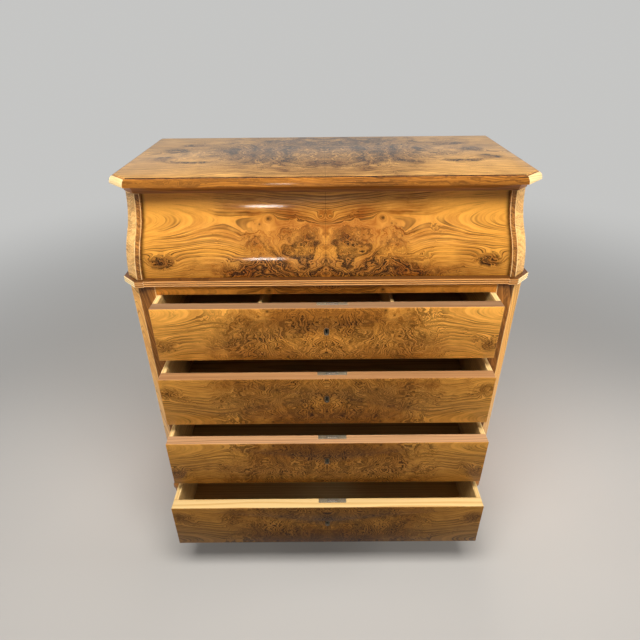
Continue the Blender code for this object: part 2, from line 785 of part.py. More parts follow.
def make_drawers(walnut, pine, iron, table):
    for index, opened in enumerate(OPEN_AT_REST):
        name = f"drawer_{index + 1}"
        drawer = new_empty(name, (0.0, -opened, drawer_floor(index) + FIT), table)
        make_drawer_front(name, walnut, drawer)
        make_drawer_box(name, pine, drawer)
        make_lock(name, iron, drawer)
        if index == 0:
            make_dividers(name, pine, drawer)


# Build

clear_scene()
PARTS = new_collection("dressing_table")
TOOLS = new_collection("cutters")

WALNUT = new_material("walnut_veneer", (0.36, 0.16, 0.045), 0.25)
MOULDING = new_material("walnut_moulding", (0.24, 0.09, 0.03), 0.30)
PINE = new_material("pine", (0.72, 0.52, 0.26), 0.60)
IRON = new_material("lock_iron", (0.20, 0.19, 0.17), 0.45, 0.9)
BRASS = new_material("hinge_brass", (0.60, 0.43, 0.18), 0.35, 1.0)
MIRROR = new_material("mirror_glass", (0.85, 0.87, 0.86), 0.03, 1.0)

TABLE = new_empty("table", (0.0, -MIDDLE, 0.0))
LID = new_empty("lid", HINGE_AXIS, TABLE)

make_plinth(MOULDING, TABLE)
make_stiles(WALNUT, TABLE)
make_sides(WALNUT, TABLE)
make_rails(WALNUT, TABLE)
make_boards(WALNUT, PINE, TABLE)
make_dust_boards(PINE, TABLE)
make_waist_moulding(MOULDING, TABLE)
make_brackets(WALNUT, TABLE)
make_ogee_panel(WALNUT, TABLE)
make_bed_moulding(MOULDING, TABLE)
make_lid(WALNUT, MIRROR, LID)
make_hinges(BRASS, TABLE, LID)
make_drawers(WALNUT, PINE, IRON, TABLE)
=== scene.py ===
# %% [markdown]
# # A walnut dressing commode, dressed piece by piece
#
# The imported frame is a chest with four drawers, a lift-up lid and a well under it, as plain solids at
# their real size. This lesson gives every solid its looks: book-matched burr veneer, polished
# mouldings, bare pine, dull iron locks. A solid whose edges should catch the light is replaced by an
# eased copy of itself, and a moulding by a finer sweep of the same profile.

# %% Load the frame
import json
import math
from typing import NamedTuple

import bmesh
import bpy
from mathutils import Matrix, Vector

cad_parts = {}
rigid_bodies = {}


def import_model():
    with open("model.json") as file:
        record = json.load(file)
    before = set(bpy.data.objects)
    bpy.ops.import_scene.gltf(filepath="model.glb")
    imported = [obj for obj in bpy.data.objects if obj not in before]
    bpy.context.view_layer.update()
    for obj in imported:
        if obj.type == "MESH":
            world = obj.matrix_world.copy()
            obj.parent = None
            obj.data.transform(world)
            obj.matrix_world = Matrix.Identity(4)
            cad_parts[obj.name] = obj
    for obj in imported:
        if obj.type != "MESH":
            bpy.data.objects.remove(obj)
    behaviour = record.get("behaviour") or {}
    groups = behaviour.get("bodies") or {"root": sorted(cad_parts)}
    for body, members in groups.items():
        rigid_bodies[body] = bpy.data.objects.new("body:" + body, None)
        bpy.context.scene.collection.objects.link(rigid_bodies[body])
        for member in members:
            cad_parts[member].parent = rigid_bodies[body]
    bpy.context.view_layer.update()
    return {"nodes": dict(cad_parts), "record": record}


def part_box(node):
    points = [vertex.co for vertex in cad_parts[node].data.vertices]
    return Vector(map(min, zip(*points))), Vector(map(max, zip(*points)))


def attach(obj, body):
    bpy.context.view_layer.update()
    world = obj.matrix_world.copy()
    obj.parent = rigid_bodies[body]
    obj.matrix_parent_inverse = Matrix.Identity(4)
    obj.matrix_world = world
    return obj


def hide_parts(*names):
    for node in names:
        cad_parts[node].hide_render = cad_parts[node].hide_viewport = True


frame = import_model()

NODES = frame["nodes"]
BODY_OF = {node: body for body, nodes in frame["record"]["behaviour"]["bodies"].items() for node in nodes}
print("nodes in the frame:", len(NODES))

# %% [markdown]
# ## Measures
#
# Everything is set out from the solids, so that nothing has to be fitted by eye. The front plane is
# the face of the stiles, and the levels are where one moulding stops and the next starts.

# %% Read the main measures
FIT = 0.0003                     # gap between pieces that touch
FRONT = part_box("stile_left")[0].y
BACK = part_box("back_panel")[1].y
HALF_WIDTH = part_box("side_right")[1].x
WAIST_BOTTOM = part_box("waist_moulding")[0].z
WAIST_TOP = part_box("ogee_panel")[0].z
FRIEZE_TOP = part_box("bed_moulding")[0].z
LID_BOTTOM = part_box("lid_board")[0].z
LID_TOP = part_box("lid_board")[1].z
DRAWERS = ("drawer_1", "drawer_2", "drawer_3", "drawer_4")
print(f"front {FRONT:.4f}, back {BACK:.4f}, waist {WAIST_TOP:.4f}, lid {LID_TOP:.4f}")

# %% [markdown]
# ## Camera
#
# The picture was taken from a little above the lid, looking down at 31 degrees with a wide lens. The
# place, the lens and the small roll were worked out from the edges of the lid and of the drawer
# fronts. A matrix holds all of it, because Euler angles would hide the order of the turns.

# %% Place the camera
CAMERA_PLACE = Vector((-0.0115, FRONT - 0.992, 1.2787))
CAMERA_PITCH = math.radians(31.12)
CAMERA_YAW = 0.003
CAMERA_ROLL = -0.0099
LENS_MM = 27.5

camera_data = bpy.data.cameras.new("camera")
camera_data.lens = LENS_MM
camera = bpy.data.objects.new("camera", camera_data)
camera.matrix_world = (
    Matrix.Translation(CAMERA_PLACE)
    @ Matrix.Rotation(CAMERA_YAW, 4, "Z")
    @ Matrix.Rotation(math.pi / 2 - CAMERA_PITCH, 4, "X")
    @ Matrix.Rotation(CAMERA_ROLL, 4, "Z")
)
bpy.context.scene.collection.objects.link(camera)
bpy.context.scene.camera = camera
bpy.context.scene.view_settings.view_transform = "Standard"
print(f"camera: {LENS_MM} mm, {math.degrees(CAMERA_PITCH):.1f} degrees down")

# %% [markdown]
# ## Shader helpers
#
# A material is a small program, and writing it node by node is slow to read. Three helpers add a
# node, do a sum and fade a value between two limits. They take plain numbers or sockets alike.

# %% Define the shader helpers
FLOAT = "NodeSocketFloat"
VECTOR = "NodeSocketVector"
COLOUR = "NodeSocketColor"


def add_node(tree, kind, inputs=None, **settings):
    """Add a shader node. An input is a number, or a socket that is joined to it."""
    made = tree.nodes.new(kind)
    for name, value in settings.items():
        setattr(made, name, value)
    for key, value in (inputs or {}).items():
        if isinstance(value, bpy.types.NodeSocket):
            tree.links.new(value, made.inputs[key])
        else:
            made.inputs[key].default_value = value
    return made


def calc(tree, operation, *values):
    return add_node(tree, "ShaderNodeMath", dict(enumerate(values)), operation=operation).outputs[0]


def calc_vector(tree, operation, *values):
    made = add_node(tree, "ShaderNodeVectorMath", dict(enumerate(values)), operation=operation)
    return made.outputs["Value" if operation in ("DOT_PRODUCT", "LENGTH") else "Vector"]


def fade(tree, value, start, end, low=0.0, high=1.0):
    """Go smoothly from low at start to high at end."""
    sockets = {"Value": value, "From Min": start, "From Max": end, "To Min": low, "To Max": high}
    return add_node(tree, "ShaderNodeMapRange", sockets, interpolation_type="SMOOTHSTEP").outputs["Result"]


def noise(tree, place, scale, detail=2.0, roughness=0.5, distortion=0.0):
    sockets = {"Vector": place, "Scale": scale, "Detail": detail, "Roughness": roughness}
    return add_node(tree, "ShaderNodeTexNoise", {**sockets, "Distortion": distortion}).outputs["Fac"]


def jitter(tree, place, scale, detail):
    """A vector that wanders about zero from place to place."""
    shift = add_node(tree, "ShaderNodeTexNoise", {"Vector": place, "Scale": scale, "Detail": detail})
    return calc_vector(tree, "SUBTRACT", shift.outputs["Color"], (0.5, 0.5, 0.5))


def noise_along(tree, value, scale, detail=2.0, roughness=0.5):
    """Noise in one dimension: equal values of the field get equal tones, which draws lines along it."""
    sockets = {"W": value, "Scale": scale, "Detail": detail, "Roughness": roughness}
    return add_node(tree, "ShaderNodeTexNoise", sockets, noise_dimensions="1D").outputs["Fac"]


def blend_colour(tree, amount, first, second, mode="MIX"):
    made = add_node(tree, "ShaderNodeMix", {"Factor": amount}, data_type="RGBA", blend_type=mode)
    for socket, value in ((made.inputs[6], first), (made.inputs[7], second)):
        if isinstance(value, bpy.types.NodeSocket):
            tree.links.new(value, socket)
        else:
            socket.default_value = value
    return made.outputs[2]


def shader_group(name, inputs, outputs):
    """Start a node group. Inputs are name: (kind, value), outputs are name: kind."""
    tree = bpy.data.node_groups.new(name, "ShaderNodeTree")
    for label, (kind, value) in inputs.items():
        tree.interface.new_socket(label, in_out="INPUT", socket_type=kind).default_value = value
    for label, kind in outputs.items():
        tree.interface.new_socket(label, in_out="OUTPUT", socket_type=kind)
    given = tree.nodes.new("NodeGroupInput").outputs
    result = tree.nodes.new("NodeGroupOutput").inputs
    return tree, given, result


def use_group(tree, group, **inputs):
    made = add_node(tree, "ShaderNodeGroup", node_tree=group)
    for label, value in inputs.items():
        socket = made.inputs[label.replace("_", " ")]
        if isinstance(value, bpy.types.NodeSocket):
            tree.links.new(value, socket)
        else:
            socket.default_value = value
    return made.outputs


def srgb(red, green, blue):
    """A colour as it looks on a screen, 0 to 255, in the linear values that shaders use."""
    linear = []
    for value in (red, green, blue):
        share = value / 255
        linear.append(share / 12.92 if share <= 0.04045 else ((share + 0.055) / 1.055) ** 2.4)
    return (*linear, 1.0)


def new_material(name):
    material = bpy.data.materials.new(name)
    material.use_nodes = True
    tree = material.node_tree
    return material, tree, tree.nodes["Principled BSDF"]


def place_on_object(tree):
    return add_node(tree, "ShaderNodeTexCoord").outputs["Object"]


def worn_faces(tree):
    """1 on the faces of eased edges, 0 elsewhere."""
    return add_node(tree, "ShaderNodeAttribute", attribute_name="worn").outputs["Fac"]


def connect(tree, shader, **values):
    """Join sockets to the shader's inputs of the same name."""
    for label, value in values.items():
        tree.links.new(value, shader.inputs[label.replace("_", " ")])


def add_relief(tree, shader, height, strength, distance=0.0004):
    bump = add_node(tree, "ShaderNodeBump", {"Strength": strength, "Distance": distance, "Height": height})
    connect(tree, shader, Normal=bump.outputs[0])


# %% [markdown]
# ## How veneer gets its figure
#
# Grain lines in sawn wood are contour lines: the saw cuts through the year rings as a level cuts a
# hill. So the figure here is a height field. It is a long valley, whose floor drops towards the end
# of the leaf, so its contours are the nested tongues of a flat-sawn board. Each knot adds a bump, and
# burr adds a rough sea. Tones that depend only on that height then run in lines that bend round the
# knots, as in the real leaf. An image would be simpler but can't be carried along, and a stock wave
# texture has no knots.

# %% Build the knot group
class Knot(NamedTuple):
    across: float   # from the seam, in metres
    up: float       # from the lower edge of the leaf
    wide: float     # spread of the bump
    high: float
    lift: float     # height of the bump: over about its spread, the lines close into rings


def make_knot_group():
    tree, given, result = shader_group(
        "knot_in_grain",
        {
            "Field": (FLOAT, 0.0),
            "Leaf": (VECTOR, (0.0, 0.0, 0.0)),
            "Middle": (VECTOR, (0.0, 0.0, 0.0)),
            "Sharpness": (VECTOR, (1.0, 1.0, 0.0)),
            "Lift": (FLOAT, 0.0),
        },
        {"Field": FLOAT},
    )
    away = calc_vector(tree, "SUBTRACT", given["Leaf"], given["Middle"])
    scaled = calc_vector(tree, "MULTIPLY", away, given["Sharpness"])
    squared = calc_vector(tree, "DOT_PRODUCT", scaled, scaled)
    bump = calc(tree, "EXPONENT", calc(tree, "MULTIPLY", squared, -1.0))
    tree.links.new(calc(tree, "MULTIPLY_ADD", bump, given["Lift"], given["Field"]), result["Field"])
    return tree


KNOT_GROUP = make_knot_group()
print("nodes in a knot:", len(KNOT_GROUP.nodes))

# %% Build the book-match group
LEAF_DRIFT = 0.06                # neighbouring leaves of a flitch differ a little
SEAM_HALF_WIDTH = 0.0007


def make_book_match_group():
    """Fold a surface about its middle, as two leaves opened like a book."""
    tree, given, result = shader_group(
        "book_match", {"Leaf": (VECTOR, (0.0, 0.0, 0.0))}, {"Leaf": VECTOR, "Seam": FLOAT}
    )
    parts = add_node(tree, "ShaderNodeSeparateXYZ", {0: given["Leaf"]}).outputs
    across = calc(tree, "ABSOLUTE", parts["X"])
    depth = calc(tree, "MULTIPLY_ADD", parts["X"], LEAF_DRIFT, parts["Z"])
    folded = add_node(tree, "ShaderNodeCombineXYZ", {0: across, 1: parts["Y"], 2: depth}).outputs[0]
    tree.links.new(folded, result["Leaf"])
    tree.links.new(fade(tree, across, SEAM_HALF_WIDTH, SEAM_HALF_WIDTH / 3), result["Seam"])
    return tree


BOOK_MATCH = make_book_match_group()
print("nodes in the book match:", len(BOOK_MATCH.nodes))

# %% Build the flitch: knots and burr of one log
BROAD_WARP = 0.022
FINE_WARP = 0.0030
ARCH_GAP = 0.0065                # between the two lines of the arch
BURR_CLIMB = 1.1
BURR_EDGE = 0.240
BURR_FOLD = 0.095
SUNK_SHARE = 0.3                 # how much of its sinking the valley's floor keeps


def add_knot(tree, field, leaf, knot):
    return use_group(
        tree,
        KNOT_GROUP,
        Field=field,
        Leaf=leaf,
        Middle=(knot.across, knot.up, 0.0),
        Sharpness=(1.0 / knot.wide, 1.0 / knot.high, 0.0),
        Lift=knot.lift,
    )["Field"]


class Valley(NamedTuple):
    """Where the tongues of a flat-sawn leaf lie. Each span is a pair of distances from the seam."""
    axis: float     # their middle line at the end of the leaf, up from its lower edge
    sunk: float     # how far that line has sunk near the seam
    rise: tuple     # span over which it rises
    floor: float    # height of the valley's floor near the seam
    drop: tuple     # span over which the floor drops


def smooth_share(value, span):
    share = min(max((value - span[0]) / (span[1] - span[0]), 0.0), 1.0)
    return share * share * (3.0 - 2.0 * share)


def field_height(valley, knots, across, up):
    """The field at one point of the leaf, without its noise."""
    sunk = valley.sunk * (1.0 - smooth_share(across, valley.rise))
    floor = valley.floor * (1.0 - smooth_share(across, valley.drop))
    height = math.hypot(up - valley.axis + sunk, floor) - SUNK_SHARE * sunk
    for knot in knots:
        away = ((across - knot.across) / knot.wide) ** 2 + ((up - knot.up) / knot.high) ** 2
        height += knot.lift * math.exp(-away)
    return height


def make_flitch_group(name, valley, knots, main_burr, burrs, pins, arch, shades=()):
    """The height field of a leaf, with its burr, brown shades, dark pins and one dark arch."""
    tree, given, result = shader_group(
        name,
        {"Leaf": (VECTOR, (0.0, 0.0, 0.0)), "Burr rise": (FLOAT, 1.0)},
        {"Field": FLOAT, "Burr": FLOAT, "Pin": FLOAT, "Shade": FLOAT, "Leaf": VECTOR},
    )
    leaf = given["Leaf"]
    still = leaf
    for scale, reach in ((7.0, BROAD_WARP), (34.0, FINE_WARP)):
        leaf = calc_vector(tree, "MULTIPLY_ADD", jitter(tree, leaf, scale, 1.0), (reach, reach, 0.0), leaf)
    parts = add_node(tree, "ShaderNodeSeparateXYZ", {0: leaf}).outputs
    sunk = fade(tree, parts["X"], *valley.rise, valley.sunk, 0.0)
    floor = fade(tree, parts["X"], *valley.drop, valley.floor, 0.0)
    slope = calc(tree, "ADD", calc(tree, "SUBTRACT", parts["Y"], valley.axis), sunk)
    squares = calc(tree, "MULTIPLY_ADD", slope, slope, calc(tree, "MULTIPLY", floor, floor))
    field = calc(tree, "MULTIPLY_ADD", sunk, -SUNK_SHARE, calc(tree, "SQRT", squares))
    for knot in knots:
        field = add_knot(tree, field, leaf, knot)

    # The main burr climbs higher up one leaf than up the next, so its patch is squeezed by the rise
    squeeze = add_node(tree, "ShaderNodeCombineXYZ", {0: 1.0, 1: given["Burr rise"], 2: 1.0}).outputs[0]
    patch = add_knot(tree, 0.0, calc_vector(tree, "DIVIDE", leaf, squeeze), main_burr)
    for burr in burrs:
        patch = add_knot(tree, patch, leaf, burr)
    ragged = calc(tree, "SUBTRACT", noise(tree, leaf, 22.0, 4.0, 0.6), 0.5)
    reach = fade(tree, calc(tree, "MULTIPLY_ADD", ragged, 1.2, patch), 0.16, 0.92)
    # The sea climbs and falls along the leaf and ripples up and down, so its lines are nested chevrons
    fold = calc(tree, "PINGPONG", calc(tree, "SUBTRACT", parts["X"], BURR_EDGE), BURR_FOLD)
    sea = calc(tree, "MULTIPLY_ADD", fold, BURR_CLIMB, -BURR_CLIMB * BURR_FOLD / 2)
    rippling = noise(tree, calc_vector(tree, "MULTIPLY", leaf, (14.0, 62.0, 1.0)), 1.0, 1.0)
    swirling = noise(tree, leaf, 18.0, 1.0, 0.5, 0.4)
    curling = noise(tree, leaf, 44.0, 1.0, 0.5, 0.5)
    for wave, size in ((rippling, 0.055), (swirling, 0.055), (curling, 0.026)):
        sea = calc(tree, "MULTIPLY_ADD", calc(tree, "SUBTRACT", wave, 0.5), size, sea)
    shade = 0.0
    for brown in shades:
        shade = add_knot(tree, shade, leaf, brown)
    pin = 0.0
    for spot in pins:
        pin = add_knot(tree, pin, still, spot)
    window = add_knot(tree, 0.0, leaf, arch)
    for step in (0.0, ARCH_GAP):
        level = field_height(valley, knots, arch.across, arch.up) + step
        away = calc(tree, "ABSOLUTE", calc(tree, "SUBTRACT", field, level))
        pin = calc(tree, "MAXIMUM", pin, calc(tree, "MULTIPLY", fade(tree, away, 0.0020, 0.0005), window))
    tree.links.new(calc(tree, "MULTIPLY_ADD", sea, reach, field), result["Field"])
    tree.links.new(reach, result["Burr"])
    tree.links.new(pin, result["Pin"])
    tree.links.new(calc(tree, "MULTIPLY_ADD", ragged, 0.5, shade), result["Shade"])
    tree.links.new(leaf, result["Leaf"])
    return tree


FLITCH_VALLEY = Valley(axis=0.128, sunk=0.030, rise=(0.080, 0.260), floor=0.050, drop=(0.190, 0.600))
FLITCH_KNOTS = (
    Knot(0.371, 0.036, 0.026, 0.018, -0.036),    # fan-shaped knot near the lower corner
    Knot(0.130, 0.170, 0.110, 0.040, -0.010),    # long lines that arch over the middle
    Knot(0.130, 0.130, 0.012, 0.010, -0.012),    # small eye under that arch
    Knot(0.092, 0.062, 0.022, 0.017, -0.026),    # rings of the large burr
    Knot(0.116, 0.031, 0.012, 0.011, -0.018),    # small knot at the lower edge
    Knot(0.014, 0.134, 0.011, 0.009, 0.012),     # pair of eyes beside the seam
)
FLITCH_MAIN_BURR = Knot(0.070, -0.008, 0.185, 0.062, 1.20)
FLITCH_BURRS = (
    Knot(0.125, 0.080, 0.080, 0.034, 0.40),      # lighter swirls above the dark flames
    Knot(0.371, 0.036, 0.027, 0.018, 1.00),      # the corner knot
    Knot(0.030, 0.088, 0.050, 0.050, 0.40),      # eyes along the seam
)
PANEL_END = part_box("ogee_panel")[1].x
FLITCH_PINS = (
    Knot(0.130, 0.130, 0.0046, 0.0044, 0.90),
    Knot(0.116, 0.031, 0.0056, 0.0054, 0.90),
    Knot(0.082, 0.062, 0.0070, 0.0056, 0.55),
    Knot(0.150, 0.118, 0.0026, 0.0028, 0.75),
    Knot(0.172, 0.093, 0.0024, 0.0026, 0.70),
    Knot(0.160, 0.084, 0.0022, 0.0024, 0.70),
    Knot(0.014, 0.134, 0.0030, 0.0026, 0.60),
    Knot(PANEL_END, 0.100, 0.0060, 9.0, 0.85),   # painted shade and dirt in the corner beside the bracket
)
FLITCH_ARCH = Knot(0.275, 0.096, 0.085, 0.040, 0.62)
FLITCH_SHADES = (
    Knot(0.040, 0.130, 0.155, 0.041, 1.10),      # brown wood between the burr and the upper edge
    Knot(0.360, 0.175, 0.085, 0.040, -1.10),     # painted light that lifts the lid's shadow at the upper corner
    Knot(0.245, 0.022, 0.085, 0.030, 0.60),      # beside the dark flames
    Knot(0.080, 0.004, 0.140, 0.020, 0.35),      # and under them
)
FLITCH = make_flitch_group(
    "flitch", FLITCH_VALLEY, FLITCH_KNOTS, FLITCH_MAIN_BURR, FLITCH_BURRS, FLITCH_PINS, FLITCH_ARCH,
    FLITCH_SHADES,
)

TOP_VALLEY = Valley(axis=0.235, sunk=0.0, rise=(0.100, 0.200), floor=0.080, drop=(0.200, 0.520))
TOP_KNOTS = (
    Knot(0.120, 0.230, 0.100, 0.080, 0.060),
    Knot(0.380, 0.270, 0.040, 0.030, -0.040),
    Knot(0.400, 0.185, 0.034, 0.024, 0.040),
    Knot(0.040, 0.330, 0.050, 0.060, 0.050),
    Knot(0.230, 0.070, 0.110, 0.050, 0.030),
)
TOP_MAIN_BURR = Knot(0.050, 0.270, 0.245, 0.150, 1.55)
TOP_BURRS = (
    Knot(0.385, 0.270, 0.034, 0.026, 0.80),
    Knot(0.400, 0.185, 0.034, 0.022, 1.00),
    Knot(0.345, 0.340, 0.040, 0.020, 0.70),
    Knot(0.330, 0.150, 0.050, 0.012, 0.85),
)
TOP_PINS = (Knot(0.180, 0.300, 0.0060, 0.0060, 0.80),)
TOP_ARCH = Knot(0.150, 0.050, 0.110, 0.040, 0.55)
TOP_SHADES = (
    Knot(0.000, 0.075, 0.295, 0.075, 0.85),      # brown wood along the front
    Knot(0.000, 0.440, 0.300, 0.100, 0.30),      # and along the back
    Knot(0.190, 0.200, 0.080, 0.060, 0.35),      # where the burr runs out
)
TOP_FLITCH = make_flitch_group(
    "top_flitch", TOP_VALLEY, TOP_KNOTS, TOP_MAIN_BURR, TOP_BURRS, TOP_PINS, TOP_ARCH, TOP_SHADES
)
# The sides have one tall leaf each, whose tongues point down: across runs up the side, and up runs to
# the back
SIDE_VALLEY = Valley(axis=0.130, sunk=0.0, rise=(0.0, 0.1), floor=0.110, drop=(0.050, 1.250))
SIDE_KNOTS = (
    Knot(0.620, 0.050, 0.140, 0.060, 0.020),
    Knot(0.300, 0.240, 0.160, 0.060, -0.018),
    Knot(0.470, 0.215, 0.016, 0.012, -0.016),
)
SIDE_MAIN_BURR = Knot(0.500, 0.100, 9.0, 9.0, -0.30)
SIDE_PINS = (Knot(0.470, 0.215, 0.0050, 0.0040, 0.80), Knot(0.810, 0.060, 0.0036, 0.0030, 0.75))
SIDE_ARCH = Knot(0.420, 0.060, 0.220, 0.080, 0.55)
SIDE_FLITCH = make_flitch_group(
    "side_flitch", SIDE_VALLEY, SIDE_KNOTS, SIDE_MAIN_BURR, (), SIDE_PINS, SIDE_ARCH
)
print("knots in the front leaves:", len(FLITCH_KNOTS), "burrs:", len(FLITCH_BURRS) + 1)

# %% [markdown]
# The field becomes colour in a second group. Slow bands set the tone of calm wood. Late wood adds
# thin lines that are sharp on one side and soft on the other. Burr adds threads and dark flames, and
# short pores run with the grain.

# %% Build the walnut figure group
def make_walnut_group():
    tree, given, result = shader_group(
        "walnut_figure",
        {
            "Field": (FLOAT, 0.0),
            "Burr": (FLOAT, 0.0),
            "Pin": (FLOAT, 0.0),
            "Shade": (FLOAT, 0.0),
            "Leaf": (VECTOR, (0.0, 0.0, 0.0)),
            "Honey": (COLOUR, (0.5, 0.25, 0.06, 1.0)),
            "Brown": (COLOUR, (0.25, 0.10, 0.02, 1.0)),
            "Ink": (COLOUR, (0.04, 0.02, 0.01, 1.0)),
            "Line strength": (FLOAT, 1.0),
            "Flame": (FLOAT, 0.95),
            "Thread": (FLOAT, 1.0),
            "Fineness": (FLOAT, 1.0),
        },
        {"Color": COLOUR, "Height": FLOAT},
    )
    field, burr, leaf = given["Field"], given["Burr"], given["Leaf"]
    along = add_node(tree, "ShaderNodeSeparateXYZ", {0: leaf}).outputs["X"]
    with_grain = add_node(tree, "ShaderNodeCombineXYZ", {0: along, 1: field, 2: 0.0}).outputs[0]

    bands = noise_along(tree, field, 46.0, 2.0, 0.5)
    stripes = noise_along(tree, field, 170.0, 2.0, 0.6)
    clouds = noise(tree, leaf, 8.0, 3.0, 0.55)
    streaks = noise(tree, calc_vector(tree, "MULTIPLY", with_grain, (16.0, 270.0, 1.0)), 1.0, 3.0, 0.6)
    fibres = noise(tree, calc_vector(tree, "MULTIPLY", with_grain, (50.0, 1100.0, 1.0)), 1.0, 2.0, 0.6)
    tone = calc(tree, "MULTIPLY_ADD", burr, -0.32, 0.66)
    tone = calc(tree, "MULTIPLY_ADD", given["Shade"], -0.52, tone)
    for part, weight in ((bands, 0.35), (stripes, 0.60), (clouds, 0.7), (streaks, 1.3), (fibres, 0.6)):
        tone = calc(tree, "MULTIPLY_ADD", calc(tree, "SUBTRACT", part, 0.5), weight, tone)
    colour = blend_colour(tree, tone, given["Brown"], given["Honey"])

    # Late wood
    rings = noise_along(tree, field, 135.0, 2.0, 0.5)
    line = calc(tree, "MULTIPLY", fade(tree, rings, 0.50, 0.52), fade(tree, rings, 0.61, 0.525))
    patches = calc(tree, "MULTIPLY_ADD", given["Shade"], 0.15, noise(tree, leaf, 10.0, 2.0))
    presence = fade(tree, patches, 0.36, 0.58)
    line = calc(tree, "MULTIPLY", calc(tree, "MULTIPLY", line, presence), 0.78)

    # Burr: threads all over it, and flames where it is dark
    curl = calc_vector(tree, "MULTIPLY", leaf, given["Fineness"])
    crinkle = calc(tree, "SUBTRACT", noise(tree, curl, 80.0, 3.0, 0.55, 0.6), 0.5)
    smooth_field = calc(tree, "MULTIPLY", field, given["Fineness"])
    burr_field = calc(tree, "MULTIPLY_ADD", crinkle, 0.030, smooth_field)
    count = calc(tree, "MULTIPLY", burr_field, 86.0)
    wave = calc(tree, "ABSOLUTE", calc(tree, "SUBTRACT", calc(tree, "FRACT", count), 0.5))
    strength = fade(tree, noise(tree, curl, 17.0, 3.0, 0.6), 0.34, 0.60, 0.40, 1.0)
    strength = calc(tree, "MULTIPLY", strength, given["Thread"])
    thread = calc(tree, "MULTIPLY", fade(tree, wave, 0.25, 0.05), strength)
    flame = fade(tree, noise_along(tree, burr_field, 70.0, 2.0, 0.6), 0.46, 0.56)
    cover = calc(tree, "MULTIPLY_ADD", given["Flame"], 0.16, noise(tree, curl, 26.0, 4.0, 0.68, 0.4))
    blotch = fade(tree, cover, 0.54, 0.68)
    split = fade(tree, noise_along(tree, burr_field, 420.0, 1.0, 0.5), 0.36, 0.58, 0.25, 1.0)
    flame = calc(tree, "MULTIPLY", calc(tree, "MULTIPLY", flame, blotch), split)
    flame = calc(tree, "MULTIPLY", flame, given["Flame"])
    inked = calc(tree, "MULTIPLY", calc(tree, "MAXIMUM", thread, flame), burr)

    # Pores, long in the direction of the grain
    drawn_out = calc_vector(tree, "MULTIPLY", with_grain, (150.0, 1500.0, 1.0))
    pore = fade(tree, noise(tree, drawn_out, 1.0), 0.60, 0.75)

    dark = calc(tree, "MULTIPLY", calc(tree, "MAXIMUM", line, inked), given["Line strength"])
    specks = calc(tree, "MAXIMUM", given["Pin"], calc(tree, "MULTIPLY", pore, 0.28))
    dark = calc(tree, "MAXIMUM", dark, specks)
    tree.links.new(blend_colour(tree, dark, colour, given["Ink"]), result["Color"])
    tree.links.new(calc(tree, "SUBTRACT", 1.0, calc(tree, "MULTIPLY", pore, 0.8)), result["Height"])
    return tree


WALNUT_FIGURE = make_walnut_group()
print("nodes in the figure:", len(WALNUT_FIGURE.nodes))

# %% [markdown]
# French polish is a thin coat of shellac: a clear gloss over satin wood. Old polish is never even, so
# a group makes the roughness drift, rubs the edges paler and leaves a trace of hand marks. The paler
# edges are wear, and in part a painted highlight on the arris. The pieces carry an attribute named
# worn on the faces of their eased edges.

# %% Build the polish group
def make_polish_group():
    tree, given, result = shader_group(
        "old_polish",
        {
            "Color": (COLOUR, (0.5, 0.3, 0.1, 1.0)),
            "Place": (VECTOR, (0.0, 0.0, 0.0)),
            "Rubbed": (COLOUR, (0.6, 0.35, 0.15, 1.0)),
            "Roughness": (FLOAT, 0.3),
        },
        {"Color": COLOUR, "Roughness": FLOAT},
    )
    worn = worn_faces(tree)
    patchy = fade(tree, noise(tree, given["Place"], 22.0, 4.0, 0.65), 0.38, 0.62)
    # Eased edges turn paler: wear, and in part a painted highlight on the arris
    rub = calc(tree, "MULTIPLY", worn, calc(tree, "MULTIPLY_ADD", patchy, 0.45, 0.30))
    tree.links.new(blend_colour(tree, rub, given["Color"], given["Rubbed"]), result["Color"])
    drift = calc(tree, "SUBTRACT", noise(tree, given["Place"], 6.0, 4.0, 0.6), 0.5)
    rough = calc(tree, "MULTIPLY_ADD", drift, 0.16, given["Roughness"])
    tree.links.new(calc(tree, "MULTIPLY_ADD", rub, 0.10, rough), result["Roughness"])
    return tree


POLISH = make_polish_group()
print("nodes in the polish:", len(POLISH.nodes))

# %% Define how a veneer is laid
UPRIGHT = (-math.pi / 2, 0.0, 0.0)   # lays a leaf that stands on edge: its height becomes y


class Tones(NamedTuple):
    honey: tuple
    brown: tuple
    ink: tuple
    # the colour of eased edges: wear, and in part a painted highlight
    rubbed: tuple


def tones_of(*colours):
    """Tones from four colours as they look on a screen."""
    return Tones(*(srgb(*colour) for colour in colours))


def lay_polish(tree, shader, place, colour, height, tones, roughness, coat):
    """Join coloured wood to the shader, under a coat of old polish."""
    polish = use_group(tree, POLISH, Color=colour, Place=place, Rubbed=tones.rubbed, Roughness=roughness)
    connect(tree, shader, Base_Color=polish["Color"], Roughness=polish["Roughness"])
    add_relief(tree, shader, height, 0.12)
    shader.inputs["Coat Weight"].default_value = coat
    shader.inputs["Coat Roughness"].default_value = 0.09
    shader.inputs["Coat IOR"].default_value = 1.5
    shader.inputs["Specular IOR Level"].default_value = 0.06


